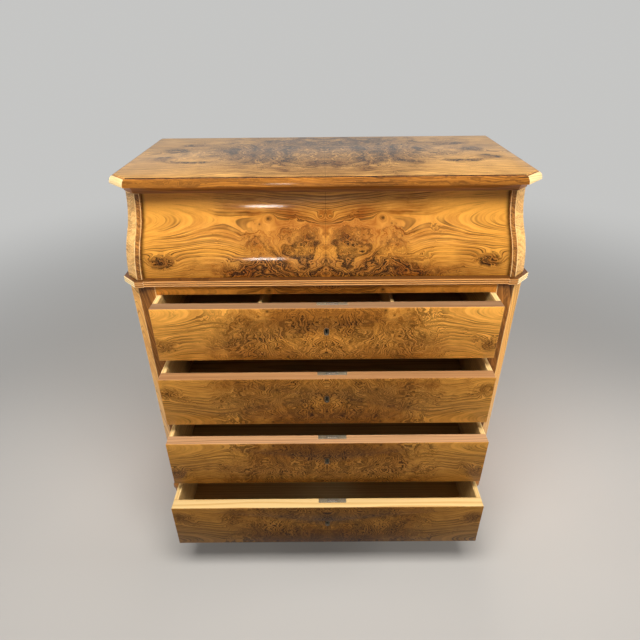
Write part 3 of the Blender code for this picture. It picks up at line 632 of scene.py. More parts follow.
def burr_veneer(
    name, flitch, lower_edge, rotation, tones, flip=False, burr_rise=1.0, flame=0.95, coat=0.5, bend=1.0,
    thread=1.0, fineness=1.0,
):
    """Veneer whose leaf starts at lower_edge. A flipped leaf hangs head down from there.

    bend is how much longer the leaf is than the board is high, where the board is curved.
    """
    material, tree, shader = new_material(name)
    place = place_on_object(tree)
    upward = -bend if flip else bend
    scale = (1.0, 1.0, upward) if rotation == UPRIGHT else (1.0, upward, 1.0)
    start = (0.0, -upward * lower_edge, 0.0)
    laid = {"Vector": place, "Location": start, "Rotation": rotation, "Scale": scale}
    leaf = add_node(tree, "ShaderNodeMapping", laid).outputs[0]
    book = use_group(tree, BOOK_MATCH, Leaf=leaf)
    log = use_group(tree, flitch, Leaf=book["Leaf"], Burr_rise=burr_rise)
    figure = use_group(
        tree,
        WALNUT_FIGURE,
        Field=log["Field"],
        Burr=log["Burr"],
        Pin=log["Pin"],
        Shade=log["Shade"],
        Leaf=log["Leaf"],
        Honey=tones.honey,
        Brown=tones.brown,
        Ink=tones.ink,
        Flame=flame,
        Thread=thread,
        Fineness=fineness,
    )
    seamed = blend_colour(tree, calc(tree, "MULTIPLY", book["Seam"], 0.5), figure["Color"], tones.ink)
    lay_polish(tree, shader, place, seamed, figure["Height"], tones, 0.34, coat)
    return material


# Scale the tones of a veneer, to paint light and shade on the drawer fronts
def with_painted_light(tones, share):
    return Tones(*((*(channel * share for channel in colour[:3]), 1.0) for colour in tones))


# %% Make the burr veneers
RAIL_LEAF_HEIGHT = 0.120
OGEE_BEND = 1.13                 # length along the ogee, over its height
DRAWER_BURR_RISE = 2.7           # the burr climbs all the way up a drawer front
LID_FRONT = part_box("lid_board")[0].y
LYING = (0.0, 0.0, 0.0)
UP_THE_SIDE = (0.0, math.pi / 2, 0.0)
FRONT_TONES = tones_of((226, 159, 64), (133, 71, 11), (46, 24, 4), (226, 172, 104))
TOP_TONES = tones_of((238, 182, 102), (94, 58, 25), (40, 24, 12), (236, 188, 120))
SIDE_TONES = tones_of((214, 146, 66), (140, 84, 30), (58, 32, 12), (226, 172, 104))
RAIL_TONES = tones_of((226, 148, 58), (140, 80, 24), (46, 24, 6), (220, 166, 104))
DRAWER_TONES = tones_of((236, 169, 76), (156, 98, 34), (58, 32, 6), (206, 150, 92))
DRAWER_PAINTED_LIGHT = (1.28, 1.00, 0.86, 0.73)   # painted light and shade: the lower a drawer, the darker its leaves
OGEE_VENEER = burr_veneer(
    "ogee_veneer", FLITCH, WAIST_TOP, UPRIGHT, FRONT_TONES, flame=1.45, coat=0.32, bend=OGEE_BEND
)
TOP_VENEER = burr_veneer(
    "top_veneer", TOP_FLITCH, LID_FRONT, LYING, TOP_TONES, flame=1.3, coat=0.39, thread=0.6, fineness=0.5
)
SIDE_VENEER = burr_veneer("side_veneer", SIDE_FLITCH, 0.0, UP_THE_SIDE, SIDE_TONES, flame=0.6, coat=0.4)
# The rails are cut from the upper edge of the same leaves, where the pair of eyes lies
RAIL_VENEER = {}
for rail in ("top_rail", "drawer_rail_1", "drawer_rail_2", "drawer_rail_3"):
    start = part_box(rail)[0].z - RAIL_LEAF_HEIGHT
    RAIL_VENEER[rail] = burr_veneer(
        rail + "_veneer", FLITCH, start, UPRIGHT, RAIL_TONES, flame=0.8, coat=0.2
    )
# Every second drawer has its leaves head down
DRAWER_VENEER = {}
for number, drawer in enumerate(DRAWERS):
    low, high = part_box(drawer + "_front")
    flipped = number % 2 == 1
    edge = high.z if flipped else low.z
    tones = with_painted_light(DRAWER_TONES, DRAWER_PAINTED_LIGHT[number])
    DRAWER_VENEER[drawer] = burr_veneer(
        drawer + "_veneer", FLITCH, edge, UPRIGHT, tones, flipped, DRAWER_BURR_RISE, flame=0.80, coat=0.2
    )
print("burr veneers:", 3 + len(RAIL_VENEER) + len(DRAWER_VENEER))

# %% [markdown]
# ## Plain walnut
#
# Stiles, rails, sides and mouldings are straight-grained. The same figure group colours them, but the
# field is only the distance across the grain with a slow wander, so the lines run along the piece.

# %% Define straight-grained walnut
class Grain(NamedTuple):
    across: tuple    # weighs x, y and z into the field
    stretch: tuple   # squeezes the wander along the grain


def straight_walnut(name, grain, tones, lines=0.7, coat=0.5, roughness=0.36, mottle=0.0):
    """Plain walnut. A mottled one has some of the tone of burr all over."""
    material, tree, shader = new_material(name)
    place = place_on_object(tree)
    flowing = calc_vector(tree, "MULTIPLY", place, grain.stretch)
    distance = calc_vector(tree, "DOT_PRODUCT", place, grain.across)
    wander = calc(tree, "SUBTRACT", noise(tree, flowing, 12.0, 2.0, 0.5), 0.5)
    field = calc(tree, "MULTIPLY_ADD", wander, 0.045, distance)
    figure = use_group(
        tree,
        WALNUT_FIGURE,
        Field=field,
        Burr=mottle,
        Leaf=flowing,
        Honey=tones.honey,
        Brown=tones.brown,
        Ink=tones.ink,
        Line_strength=lines,
    )
    lay_polish(tree, shader, place, figure["Color"], figure["Height"], tones, roughness, coat)
    return material


# %% Make the straight-grained walnut
# Painted light: the canted faces of stiles, brackets and the lid's nose get lighter tones than the fronts
STILE_TONES = tones_of((192, 126, 54), (104, 60, 22), (40, 22, 8), (230, 180, 120))
STILE_CANT_PAINTED_LIGHT_TONES = tones_of((244, 186, 96), (192, 120, 48), (92, 50, 18), (248, 212, 150))
MOULDING_TONES = tones_of((204, 138, 66), (136, 82, 32), (56, 30, 12), (232, 180, 118))
NOSE_CANT_PAINTED_LIGHT_TONES = tones_of((250, 222, 166), (232, 190, 120), (130, 84, 40), (255, 236, 190))
NOSE_TONES = tones_of((194, 125, 45), (112, 65, 20), (46, 24, 8), (208, 146, 80))
# Painted shade: the bed moulding under the lid gets darker tones than the waist moulding
BED_PAINTED_SHADE_TONES = tones_of((174, 110, 47), (100, 57, 20), (36, 18, 6), (196, 134, 70))
BRACKET_TONES = tones_of((206, 140, 66), (116, 68, 28), (44, 24, 8), (240, 194, 134))
BRACKET_CANT_PAINTED_LIGHT_TONES = tones_of((252, 208, 130), (206, 142, 70), (98, 56, 22), (252, 222, 164))
PLINTH_TONES = tones_of((186, 122, 54), (118, 70, 26), (50, 28, 10), (222, 168, 104))
UP_GRAIN = Grain((0.8, 0.8, 0.15), (1.0, 1.0, 0.25))
CROSS_GRAIN = Grain((0.0, 0.5, 1.0), (0.12, 1.0, 1.0))
EDGE_GRAIN = Grain((0.0, 1.0, 0.3), (0.12, 1.0, 1.0))
LEVEL_GRAIN = Grain((0.05, 0.05, 1.0), (0.3, 0.3, 1.0))   # runs round the corners of a moulding
FACE_GRAIN = Grain((0.5, 0.5, 1.0), (2.0, 2.0, 1.6))
CANT_GRAIN = Grain((0.3, 0.3, 1.0), (2.0, 2.0, 1.6))
STILE_WALNUT = straight_walnut("stile_walnut", UP_GRAIN, STILE_TONES, 1.0, mottle=0.4)
STILE_CANT_PAINTED_LIGHT_WALNUT = straight_walnut("cant_walnut", UP_GRAIN, STILE_CANT_PAINTED_LIGHT_TONES, 0.8)
RAIL_WALNUT = straight_walnut("rail_walnut", CROSS_GRAIN, NOSE_TONES)
MOULDING_WALNUT = straight_walnut("moulding_walnut", LEVEL_GRAIN, MOULDING_TONES)
PLINTH_WALNUT = straight_walnut("plinth_walnut", LEVEL_GRAIN, PLINTH_TONES, 1.0, 0.3)
BED_PAINTED_SHADE_WALNUT = straight_walnut("bed_painted_shade_walnut", LEVEL_GRAIN, BED_PAINTED_SHADE_TONES)
NOSE_WALNUT = straight_walnut("nose_walnut", LEVEL_GRAIN, NOSE_TONES, 1.35, 0.35, mottle=0.4)
NOSE_CANT_PAINTED_LIGHT_WALNUT = straight_walnut("nose_cant_walnut", LEVEL_GRAIN, NOSE_CANT_PAINTED_LIGHT_TONES, 0.4)
BRACKET_FACE_WALNUT = straight_walnut("bracket_face_walnut", FACE_GRAIN, BRACKET_TONES, 1.0, mottle=0.7)
BRACKET_CANT_PAINTED_LIGHT_WALNUT = straight_walnut(
    "bracket_cant_walnut", CANT_GRAIN, BRACKET_CANT_PAINTED_LIGHT_TONES, 1.0, mottle=0.45
)
# Painted shade: the higher a drawer, the darker the top edge of its front; drawer 4 keeps clean pine
EDGE_PAINTED_SHADE_COLOURS = {
    "drawer_1": (srgb(166, 130, 96), srgb(112, 80, 54)),
    "drawer_2": (srgb(192, 144, 98), srgb(134, 92, 56)),
    "drawer_3": (srgb(212, 166, 122), srgb(164, 118, 78)),
}
EDGE_PAINTED_SHADE_WALNUT = {}
for drawer, (light, dark) in EDGE_PAINTED_SHADE_COLOURS.items():
    tones = Tones(light, dark, srgb(86, 52, 30), srgb(222, 182, 140))
    EDGE_PAINTED_SHADE_WALNUT[drawer] = straight_walnut(drawer + "_edge_walnut", EDGE_GRAIN, tones, 0.8, 0.1, 0.5)
print("plain walnuts:", sum(material.name.endswith("_walnut") for material in bpy.data.materials))

# %% [markdown]
# ## Pine
#
# The drawer linings, the back and the boards inside are bare softwood. A plain-sawn board shows its
# year rings as long bands, dark and sharp on one side and soft on the other. Here the rings are
# circles round a pith that lies beside the board, so that faces, edges and end grain agree. An
# attribute named board puts each board in its own place in the log, so that no two match.

# %% Make the pine
ALONG_X = (0.0, 0.0, 0.0)
ALONG_Y = (0.0, 0.0, math.pi / 2)
ALONG_Z = (0.0, math.pi / 2, 0.0)
CLEAN = (srgb(244, 212, 150), srgb(214, 168, 100))     # early and late wood
# Painted shade: darker pine for the broad faces of drawer sides and dividers, whose edges stay light
PINE_IN_PAINTED_SHADE = (srgb(198, 162, 106), srgb(158, 120, 70))
LINING = (srgb(206, 182, 136), srgb(168, 142, 98))
AGED = (srgb(186, 148, 98), srgb(144, 106, 64))
PINE_GREY = srgb(128, 106, 74)
RING_SPACING = 0.0048


def bare_pine(name, rotation, wood):
    """Pine with its grain along the board's x after the rotation."""
    material, tree, shader = new_material(name)
    place = place_on_object(tree)
    board = add_node(tree, "ShaderNodeAttribute", attribute_name="board").outputs["Vector"]
    in_log = calc_vector(tree, "ADD", place, board)
    log = add_node(tree, "ShaderNodeMapping", {"Vector": in_log, "Rotation": rotation}).outputs[0]
    flowing = calc_vector(tree, "MULTIPLY", log, (0.10, 1.0, 1.0))
    bent = calc_vector(tree, "MULTIPLY_ADD", jitter(tree, flowing, 14.0, 2.0), (0.0, 0.020, 0.020), log)
    radius = calc_vector(tree, "LENGTH", calc_vector(tree, "MULTIPLY", bent, (0.0, 1.0, 1.0)))
    uneven = calc(tree, "MULTIPLY", noise_along(tree, radius, 70.0), 2.5)
    turn = calc(tree, "FRACT", calc(tree, "MULTIPLY_ADD", radius, 1.0 / RING_SPACING, uneven))
    late = calc(tree, "MULTIPLY", fade(tree, turn, 0.25, 0.92), fade(tree, turn, 1.0, 0.94))
    fibre = noise(tree, calc_vector(tree, "MULTIPLY", log, (30.0, 900.0, 900.0)), 1.0, 2.0, 0.6)
    amount = calc(tree, "MULTIPLY_ADD", late, 0.62, calc(tree, "MULTIPLY", fibre, 0.30))
    colour = blend_colour(tree, amount, *wood)
    age = fade(tree, noise(tree, flowing, 9.0, 4.0, 0.65), 0.50, 0.80)
    worn = worn_faces(tree)
    grime = calc(tree, "MULTIPLY_ADD", worn, 0.12, calc(tree, "MULTIPLY", age, 0.35))
    rough = calc(tree, "MULTIPLY_ADD", late, -0.12, 0.66)
    connect(tree, shader, Base_Color=blend_colour(tree, grime, colour, PINE_GREY), Roughness=rough)
    add_relief(tree, shader, amount, 0.25)
    shader.inputs["Specular IOR Level"].default_value = 0.25
    return material


PINE_ALONG_X = bare_pine("pine_along_x", ALONG_X, CLEAN)
PINE_ALONG_Y = bare_pine("pine_along_y", ALONG_Y, CLEAN)
PAINTED_SHADE_PINE_ALONG_Y = bare_pine("painted_shade_pine_along_y", ALONG_Y, PINE_IN_PAINTED_SHADE)
LINING_PINE_ALONG_X = bare_pine("lining_pine_along_x", ALONG_X, LINING)
AGED_PINE_ALONG_X = bare_pine("aged_pine_along_x", ALONG_X, AGED)
AGED_PINE_ALONG_Z = bare_pine("aged_pine_along_z", ALONG_Z, AGED)
print("pines:", sum("pine_along" in material.name for material in bpy.data.materials))

# %% [markdown]
# ## Metal and glass
#
# The locks are dull iron with a green-brown bloom and a bolt rubbed bright. The hinges are brass gone
# brown in the corners. The looking-glass under the lid is old silvering: bright, with a little
# foxing.

# %% Make the metals and the mirror
def aged_metal(name, clean, bloom, roughness, bloom_share):
    material, tree, shader = new_material(name)
    place = place_on_object(tree)
    worn = worn_faces(tree)
    spots = fade(tree, noise(tree, place, 160.0, 5.0, 0.7), 0.62 - bloom_share * 0.3, 0.72)
    spots = calc(tree, "MULTIPLY", spots, calc(tree, "MULTIPLY_ADD", worn, -0.7, 1.0))
    connect(
        tree,
        shader,
        Base_Color=blend_colour(tree, spots, clean, bloom),
        Roughness=calc(tree, "MULTIPLY_ADD", spots, 0.25, roughness),
        Metallic=calc(tree, "MULTIPLY_ADD", spots, -0.5, 0.85),
    )
    scratch = noise(tree, calc_vector(tree, "MULTIPLY", place, (60.0, 900.0, 900.0)), 1.0, 2.0)
    add_relief(tree, shader, scratch, 0.15, 0.0002)
    return material


LOCK_IRON = aged_metal("lock_iron", srgb(212, 206, 184), srgb(150, 142, 112), 0.42, 0.5)
# Painted shade: the rim round the keyhole is darker iron, and the hole nearly black
RIM_PAINTED_SHADE_IRON = aged_metal("keyhole_iron", srgb(98, 84, 64), srgb(42, 34, 24), 0.40, 0.5)
HOLE_PAINTED_SHADE_IRON = aged_metal("hole_painted_shade_iron", srgb(8, 6, 5), srgb(5, 4, 3), 0.80, 0.5)
BOLT_STEEL = aged_metal("bolt_steel", srgb(226, 224, 216), srgb(150, 142, 120), 0.26, 0.1)
HINGE_BRASS = aged_metal("hinge_brass", srgb(206, 168, 98), srgb(112, 82, 44), 0.30, 0.4)


def silvered_glass():
    material, tree, shader = new_material("silvered_glass")
    place = place_on_object(tree)
    foxing = fade(tree, noise(tree, place, 30.0, 6.0, 0.75), 0.66, 0.80)
    silver = blend_colour(tree, foxing, srgb(236, 238, 236), srgb(118, 104, 84))
    connect(tree, shader, Base_Color=silver, Roughness=calc(tree, "MULTIPLY_ADD", foxing, 0.35, 0.03))
    shader.inputs["Metallic"].default_value = 1.0
    return material


MIRROR_GLASS = silvered_glass()
print("finishes so far:", len(bpy.data.materials))

# %% [markdown]
# ## Pieces from solids
#
# Most solids have the right shape already, but no edge of good furniture is left sharp: it is rubbed
# down, and the rounded edge catches the light. So a copy of the solid has its flat triangles
# dissolved into whole faces and its sharp edges bevelled by under a millimetre. The new faces are
# marked as worn, which the finishes read; the polish paints them paler, as wear and in part as a
# painted highlight.

# %% Define how a piece is finished
SHARP = math.radians(28)
SMOOTH = math.radians(40)
FLAT = math.radians(0.5)
WELD = 1e-5
PLAIN_EDGE = 0.0008              # widths of eased edges
BROAD_EDGE = 0.0016
SOFT_EDGE = 0.0012
RAIL_EDGE = 0.0010
BOARD_EDGE = 0.0006
FINE_EDGE = 0.0004
CRISP_EDGE = 0.0003
PITH_DISTANCE = 0.026
PITH_SPREAD = (0.012, 0.009, 0.011)
LOG_STRIDE = 1.37                # from one board to the next, along the grain


def copy_of(node):
    """The solid as a bmesh of whole faces."""
    bm = bmesh.new()
    bm.from_mesh(NODES[node].data)
    bmesh.ops.remove_doubles(bm, verts=bm.verts, dist=WELD)
    bmesh.ops.dissolve_limit(bm, angle_limit=FLAT, verts=bm.verts, edges=bm.edges)
    return bm


def ease_edges(bm, width, segments=2):
    """Round every sharp edge and mark the new faces as worn."""
    worn = bm.faces.layers.float.new("worn")
    edges = [edge for edge in bm.edges if edge.is_manifold and edge.calc_face_angle() > SHARP]
    made = bmesh.ops.bevel(
        bm,
        geom=edges,
        offset=width,
        offset_type="OFFSET",
        segments=segments,
        profile=0.5,
        affect="EDGES",
        clamp_overlap=True,
        material=-1,
    )
    for face in made["faces"]:
        face[worn] = 1.0


def finish_piece(name, bm, body, finishes, nodes=(), rule=None):
    """Make the object, give its faces their finishes and let it ride on its body."""
    for face in bm.faces:
        face.smooth = True
        face.material_index = rule(face) if rule else 0
    mesh = bpy.data.meshes.new(name)
    bm.to_mesh(mesh)
    bm.free()
    mesh.set_sharp_from_angle(angle=SMOOTH)
    for finish in finishes:
        mesh.materials.append(finish)
    piece = bpy.data.objects.new(name, mesh)
    bpy.context.scene.collection.objects.link(piece)
    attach(piece, body)
    if nodes:
        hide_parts(*nodes)
    return piece


def board_shift(low, high, seed):
    """Move the middle of a board near the pith, and by a length of its own along the grain."""
    shift = (low + high) / -2
    longest = max(range(3), key=lambda axis: high[axis] - low[axis])
    for axis, spread in enumerate(PITH_SPREAD):
        aside = PITH_DISTANCE + spread * ((seed + axis) % 4)
        shift[axis] += LOG_STRIDE * seed if axis == longest else aside
    return shift


def mark_board(piece, seed):
    """Give a pine piece its own place in the log."""
    low, high = (Vector(corner) for corner in (piece.bound_box[0], piece.bound_box[6]))
    shift = board_shift(low, high, seed)
    board = piece.data.attributes.new("board", "FLOAT_VECTOR", "POINT")
    for entry in board.data:
        entry.vector = shift


def eased_node(node, finishes, width=PLAIN_EDGE, rule=None, seed=None):
    bm = copy_of(node)
    ease_edges(bm, width)
    piece = finish_piece("dressed_" + node, bm, BODY_OF[node], finishes, (node,), rule)
    if seed is not None:
        mark_board(piece, seed)
    return piece


def report_pieces():
    dressed = [piece for piece in bpy.data.objects if piece.name.startswith("dressed_")]
    print("dressed so far:", len(dressed), "of", len(NODES))


# %% Ease the carcase
def canted_rule(face):
    """0 faces the front or is hidden, 1 is the canted corner with its eased edges.

    1 gets lighter tones, as painted light.
    """
    return 1 if abs(face.normal.x) > 0.3 and face.normal.y < -0.2 else 0


def rail_rule(face):
    return 0 if face.normal.y < -0.3 else 1


def side_rule(face):
    """0 is the veneer outside, 1 the bare ground inside and along the back edge."""
    return 1 if face.normal.y > 0.5 or face.normal.x * face.calc_center_median().x < -0.1 else 0


for node in ("stile_left", "stile_right"):
    eased_node(node, [STILE_WALNUT, STILE_CANT_PAINTED_LIGHT_WALNUT], BROAD_EDGE, canted_rule)
for node in ("side_left", "side_right"):
    eased_node(node, [SIDE_VENEER, AGED_PINE_ALONG_Z], PLAIN_EDGE, side_rule, seed=2)
for node, veneer in RAIL_VENEER.items():
    eased_node(node, [veneer, RAIL_WALNUT], RAIL_EDGE, rail_rule)
eased_node("back_rail", [RAIL_WALNUT])
eased_node("plinth", [PLINTH_WALNUT], RAIL_EDGE)
INNER_BOARDS = ("dust_board_1", "dust_board_2", "dust_board_3", "bottom_board", "well_floor")
for seed, node in enumerate(INNER_BOARDS, 3):
    eased_node(node, [AGED_PINE_ALONG_X], BOARD_EDGE, seed=seed)
report_pieces()

# %% Make the back of upright boards
BACK_BOARDS = (0.158, 0.139, 0.146, 0.133, 0.150, 0.1414)   # widths, from left to right
BACK_GAP = 0.0012
NAIL_RADIUS = 0.0024
NAIL_HEIGHT = 0.0008
NAIL_SUNK = 0.0002
NAIL_TAPER = 0.7
NAIL_ROWS = (0.034, 0.70)        # from the lower end of a board
NAIL_TOP_ROW = 0.014             # from its upper end
NAIL_SHARES = (0.22, 0.78)       # across a board
FACING_BACK = Matrix.Rotation(math.radians(-90), 4, "X")


def add_block(bm, low, high):
    """A box between two corners."""
    size = Vector(high) - Vector(low)
    matrix = Matrix.Translation((Vector(high) + Vector(low)) / 2) @ Matrix.Diagonal((*size, 1.0))
    return bmesh.ops.create_cube(bm, size=1.0, matrix=matrix)["verts"]


back_low, back_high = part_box("back_panel")
boards = bmesh.new()
nails = bmesh.new()
place_in_log = boards.verts.layers.float_vector.new("board")
left = back_low.x
for seed, width in enumerate(BACK_BOARDS, 80):
    low = Vector((left, back_low.y, back_low.z))
    high = Vector((min(left + width - BACK_GAP, back_high.x), back_high.y, back_high.z))
    for corner in add_block(boards, low, high):
        corner[place_in_log] = board_shift(low, high, seed)
    # A loose tongue closes the gap to the next board
    if high.x < back_high.x - BACK_GAP:
        thirds = (back_high.y - back_low.y) / 3
        tongue_low = (high.x - BACK_GAP, back_low.y + thirds, low.z)
        tongue_high = (high.x + 2 * BACK_GAP, back_high.y - thirds, high.z)
        add_block(boards, tongue_low, tongue_high)
    for level in (*(low.z + row for row in NAIL_ROWS), high.z - NAIL_TOP_ROW):
        for share in NAIL_SHARES:
            across = low.x + share * (high.x - low.x)
            spot = Vector((across, high.y + NAIL_HEIGHT / 2 - NAIL_SUNK, level))
            bmesh.ops.create_cone(
                nails,
                cap_ends=True,
                segments=10,
                radius1=NAIL_RADIUS,
                radius2=NAIL_RADIUS * NAIL_TAPER,
                depth=NAIL_HEIGHT,
                matrix=Matrix.Translation(spot) @ FACING_BACK,
            )
    left += width
ease_edges(boards, SOFT_EDGE)
finish_piece("dressed_back_panel", boards, "carcase", [AGED_PINE_ALONG_Z], ("back_panel",))
finish_piece("back_nails", nails, "carcase", [LOCK_IRON])
print("boards in the back:", len(BACK_BOARDS))

# %% [markdown]
# ## Drawers
#
# A drawer side is dovetailed into the front. The tails are a part of the side and stop short of the
# veneer, so the joint is seen only from the side. The side is one outline with its tails, extruded to
# its thickness. The sockets in the front are cut with the same tails, a hair larger.

# %% Define the dovetails
TAIL_COUNT = 5
TAIL_LENGTH = 0.0195
TAIL_ROOT = 0.0055               # half widths of a tail
TAIL_END = 0.0080
JOINT_GAP = 0.00012


def tail_outlines(low, high, reach, ease=0.0):
    """Outlines of the tails in y and z, from their roots at reach towards the front."""
    pitch = (high.z - low.z) / TAIL_COUNT
    for index in range(TAIL_COUNT):
        middle = low.z + pitch * (index + 0.5)
        tip = low.y - FIT - TAIL_LENGTH - ease
        yield (
            (reach, middle - TAIL_ROOT - ease),
            (tip, middle - TAIL_END - ease),
            (tip, middle + TAIL_END + ease),
            (reach, middle + TAIL_ROOT + ease),
        )


def add_prism(bm, outline, start, end):
    """Extrude an outline in y and z from x = start to x = end."""
    corners = [bm.verts.new((start, y, z)) for y, z in outline]
    edges = [bm.edges.new(pair) for pair in zip(corners, corners[1:] + corners[:1])]
    face = bmesh.ops.edgeloop_fill(bm, edges=edges)["faces"]
    moved = bmesh.ops.extrude_face_region(bm, geom=face)["geom"]
    far = [item for item in moved if isinstance(item, bmesh.types.BMVert)]
    bmesh.ops.translate(bm, verts=far, vec=(end - start, 0.0, 0.0))
    bmesh.ops.recalc_face_normals(bm, faces=bm.faces)


def cut_with(bm, cutter_bm):
    """Take one solid out of another with a Boolean modifier."""
    made = []
    for name, shape in (("blank", bm), ("cutter", cutter_bm)):
        mesh = bpy.data.meshes.new(name)
        shape.to_mesh(mesh)
        shape.free()
        made.append(bpy.data.objects.new(name, mesh))
        bpy.context.scene.collection.objects.link(made[-1])
    blank, cutter = made
    modifier = blank.modifiers.new("sockets", "BOOLEAN")
    modifier.operation = "DIFFERENCE"
    modifier.solver = "EXACT"
    modifier.object = cutter
    result = bmesh.new()
    result.from_mesh(blank.evaluated_get(bpy.context.evaluated_depsgraph_get()).to_mesh())
    for leftover in made:
        bpy.data.objects.remove(leftover)
    return result


def dovetailed_side(node, seed):
    low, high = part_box(node)
    outline = [(low.y, low.z)]
    for tail in tail_outlines(low, high, low.y):
        outline.extend(tail)
    outline += [(low.y, high.z), (high.y, high.z), (high.y, low.z)]
    bm = bmesh.new()
    add_prism(bm, outline, low.x, high.x)
    ease_edges(bm, FINE_EDGE)
    finishes = [PINE_ALONG_Y, PAINTED_SHADE_PINE_ALONG_Y]
    piece = finish_piece("dressed_" + node, bm, BODY_OF[node], finishes, (node,), flank_rule)
    mark_board(piece, seed)


# %% Say which face of a drawer gets which finish
VENEER_THICKNESS = 0.0014
RIM_DEPTH = 0.0008


def drawer_rule(front_face):
    """0 is the veneer with its own edge, 1 the top edge, 2 the ground behind.

    The top edge of a higher drawer is darker, as painted shade.
    """
    def rule(face):
        middle = face.calc_center_median()
        if face.normal.y < -0.3 or middle.y < front_face + VENEER_THICKNESS:
            return 0
        return 1 if face.normal.z > 0.5 else 2
    return rule


def lock_rule(front_face):
    """0 is the plate let in above, 1 the rim round the keyhole, 2 the hole and what the wood hides.

    1 and 2 are darker iron, as painted shade.
    """
    def rule(face):
        if face.calc_center_median().y < front_face + RIM_DEPTH:
            return 1
        return 0 if face.normal.z > 0.5 or face.normal.y > 0.5 else 2
    return rule


def flank_rule(face):
    """0 is an edge of a thin board, 1 its two broad faces, in darker pine as painted shade."""
    return 1 if abs(face.normal.x) > 0.9 else 0


# %% Make the drawers
BOLT_EDGE = 0.0005
for number, drawer in enumerate(DRAWERS, 1):
    front = drawer + "_front"
    low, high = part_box(front)
    bm = copy_of(front)
    bmesh.ops.bisect_plane(
        bm,
        geom=bm.verts[:] + bm.edges[:] + bm.faces[:],
        plane_co=(0.0, low.y + VENEER_THICKNESS, 0.0),
        plane_no=(0.0, 1.0, 0.0),
    )
    ease_edges(bm, BOARD_EDGE)
    sockets = bmesh.new()
    for side in ("_side_left", "_side_right"):
        side_low, side_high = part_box(drawer + side)
        outer = math.copysign(side_high.x - side_low.x + JOINT_GAP, side_low.x)
        for tail in tail_outlines(side_low, side_high, side_low.y + FIT, JOINT_GAP):
            end = math.copysign(high.x, side_low.x)
            add_prism(sockets, tail, end - outer, end + math.copysign(FIT, side_low.x))
    bm = cut_with(bm, sockets)
    top_edge = EDGE_PAINTED_SHADE_WALNUT.get(drawer, PINE_ALONG_X)
    piece = finish_piece(
        "dressed_" + front,
        bm,
        drawer,
        [DRAWER_VENEER[drawer], top_edge, PINE_ALONG_X],
        (front,),
        drawer_rule(low.y),
    )
    mark_board(piece, 20 + number)
    for seed, end in enumerate(("_side_left", "_side_right"), 30 + 4 * number):
        dovetailed_side(drawer + end, seed)
    for seed, end in enumerate(("_back", "_bottom"), 50 + 4 * number):
        eased_node(drawer + end, [LINING_PINE_ALONG_X], BOARD_EDGE, seed=seed)
    lock_finishes = [LOCK_IRON, RIM_PAINTED_SHADE_IRON, HOLE_PAINTED_SHADE_IRON]
    eased_node(drawer + "_lock", lock_finishes, FINE_EDGE, lock_rule(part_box(drawer + "_lock")[0].y))
    eased_node(drawer + "_bolt", [BOLT_STEEL], BOLT_EDGE)
for seed, node in enumerate(("drawer_1_divider_left", "drawer_1_divider_right"), 70):
    eased_node(node, [PINE_ALONG_Y, PAINTED_SHADE_PINE_ALONG_Y], BOARD_EDGE, flank_rule, seed)
report_pieces()

# %% [markdown]
# Locks and hinges are held by countersunk screws with a straight slot. A screw head is a low disc
# whose top is parted by two cuts, and the strip between them is pressed in. The same head serves
# everywhere, turned a little each time, because no two screws stop at the same angle.

# %% Drive the screws
SCREW_RADIUS = 0.0025
SCREW_PROUD = 0.00012
SCREW_DEPTH = 0.0008
SLOT_HALF = 0.0004
LOCK_SCREW_INSET = 0.007
HINGE_SCREW_INSET = 0.0075
HINGE_SCREW_SHARES = (0.17, 0.5, 0.83)   # along a leaf
HINGE_SCREW_SUNK = 0.00005
FIRST_TURN = 0.4
NEXT_TURN = 1.1


def add_screw(bm, place, upward, turn):
    """One screw head, with its top at place and looking up or down."""
    head = bmesh.new()
    bmesh.ops.create_cone(
        head,
        cap_ends=True,
        segments=20,
        radius1=SCREW_RADIUS * 0.8,
        radius2=SCREW_RADIUS,
        depth=SCREW_DEPTH,
        matrix=Matrix.Translation((0.0, 0.0, -SCREW_DEPTH / 2)),
    )
    for side in (-SLOT_HALF, SLOT_HALF):
        geometry = head.verts[:] + head.edges[:] + head.faces[:]
        bmesh.ops.bisect_plane(head, geom=geometry, plane_co=(0.0, side, 0.0), plane_no=(0.0, 1.0, 0.0))
    strip = []
    for face in head.faces:
        if face.normal.z > 0.9 and abs(face.calc_center_median().y) < SLOT_HALF / 2:
            strip.append(face)
    pressed = bmesh.ops.extrude_face_region(head, geom=strip)["geom"]
    low = [item for item in pressed if isinstance(item, bmesh.types.BMVert)]
    bmesh.ops.translate(head, verts=low, vec=(0.0, 0.0, -SCREW_DEPTH / 2))
    bmesh.ops.delete(head, geom=strip, context="FACES_ONLY")
    over = Matrix.Identity(4) if upward else Matrix.Rotation(math.pi, 4, "X")
    head.transform(Matrix.Translation(place) @ over @ Matrix.Rotation(turn, 4, "Z"))
    mesh = bpy.data.meshes.new("head")
    head.to_mesh(mesh)
    head.free()
    bm.from_mesh(mesh)
    bpy.data.meshes.remove(mesh)


def add_screws(name, body, finish, places, upward):
    bm = bmesh.new()
    for index, place in enumerate(places):
        add_screw(bm, place, upward, FIRST_TURN + NEXT_TURN * index)
    finish_piece(name, bm, body, [finish])


for drawer in DRAWERS:
    low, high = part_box(drawer + "_lock")
    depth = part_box(drawer + "_bolt")
    middle = (depth[0].y + depth[1].y) / 2
    ends = (low.x + LOCK_SCREW_INSET, high.x - LOCK_SCREW_INSET)
    places = [Vector((x, middle, high.z + SCREW_PROUD)) for x in ends]
    add_screws(drawer + "_lock_screws", drawer, LOCK_IRON, places, True)

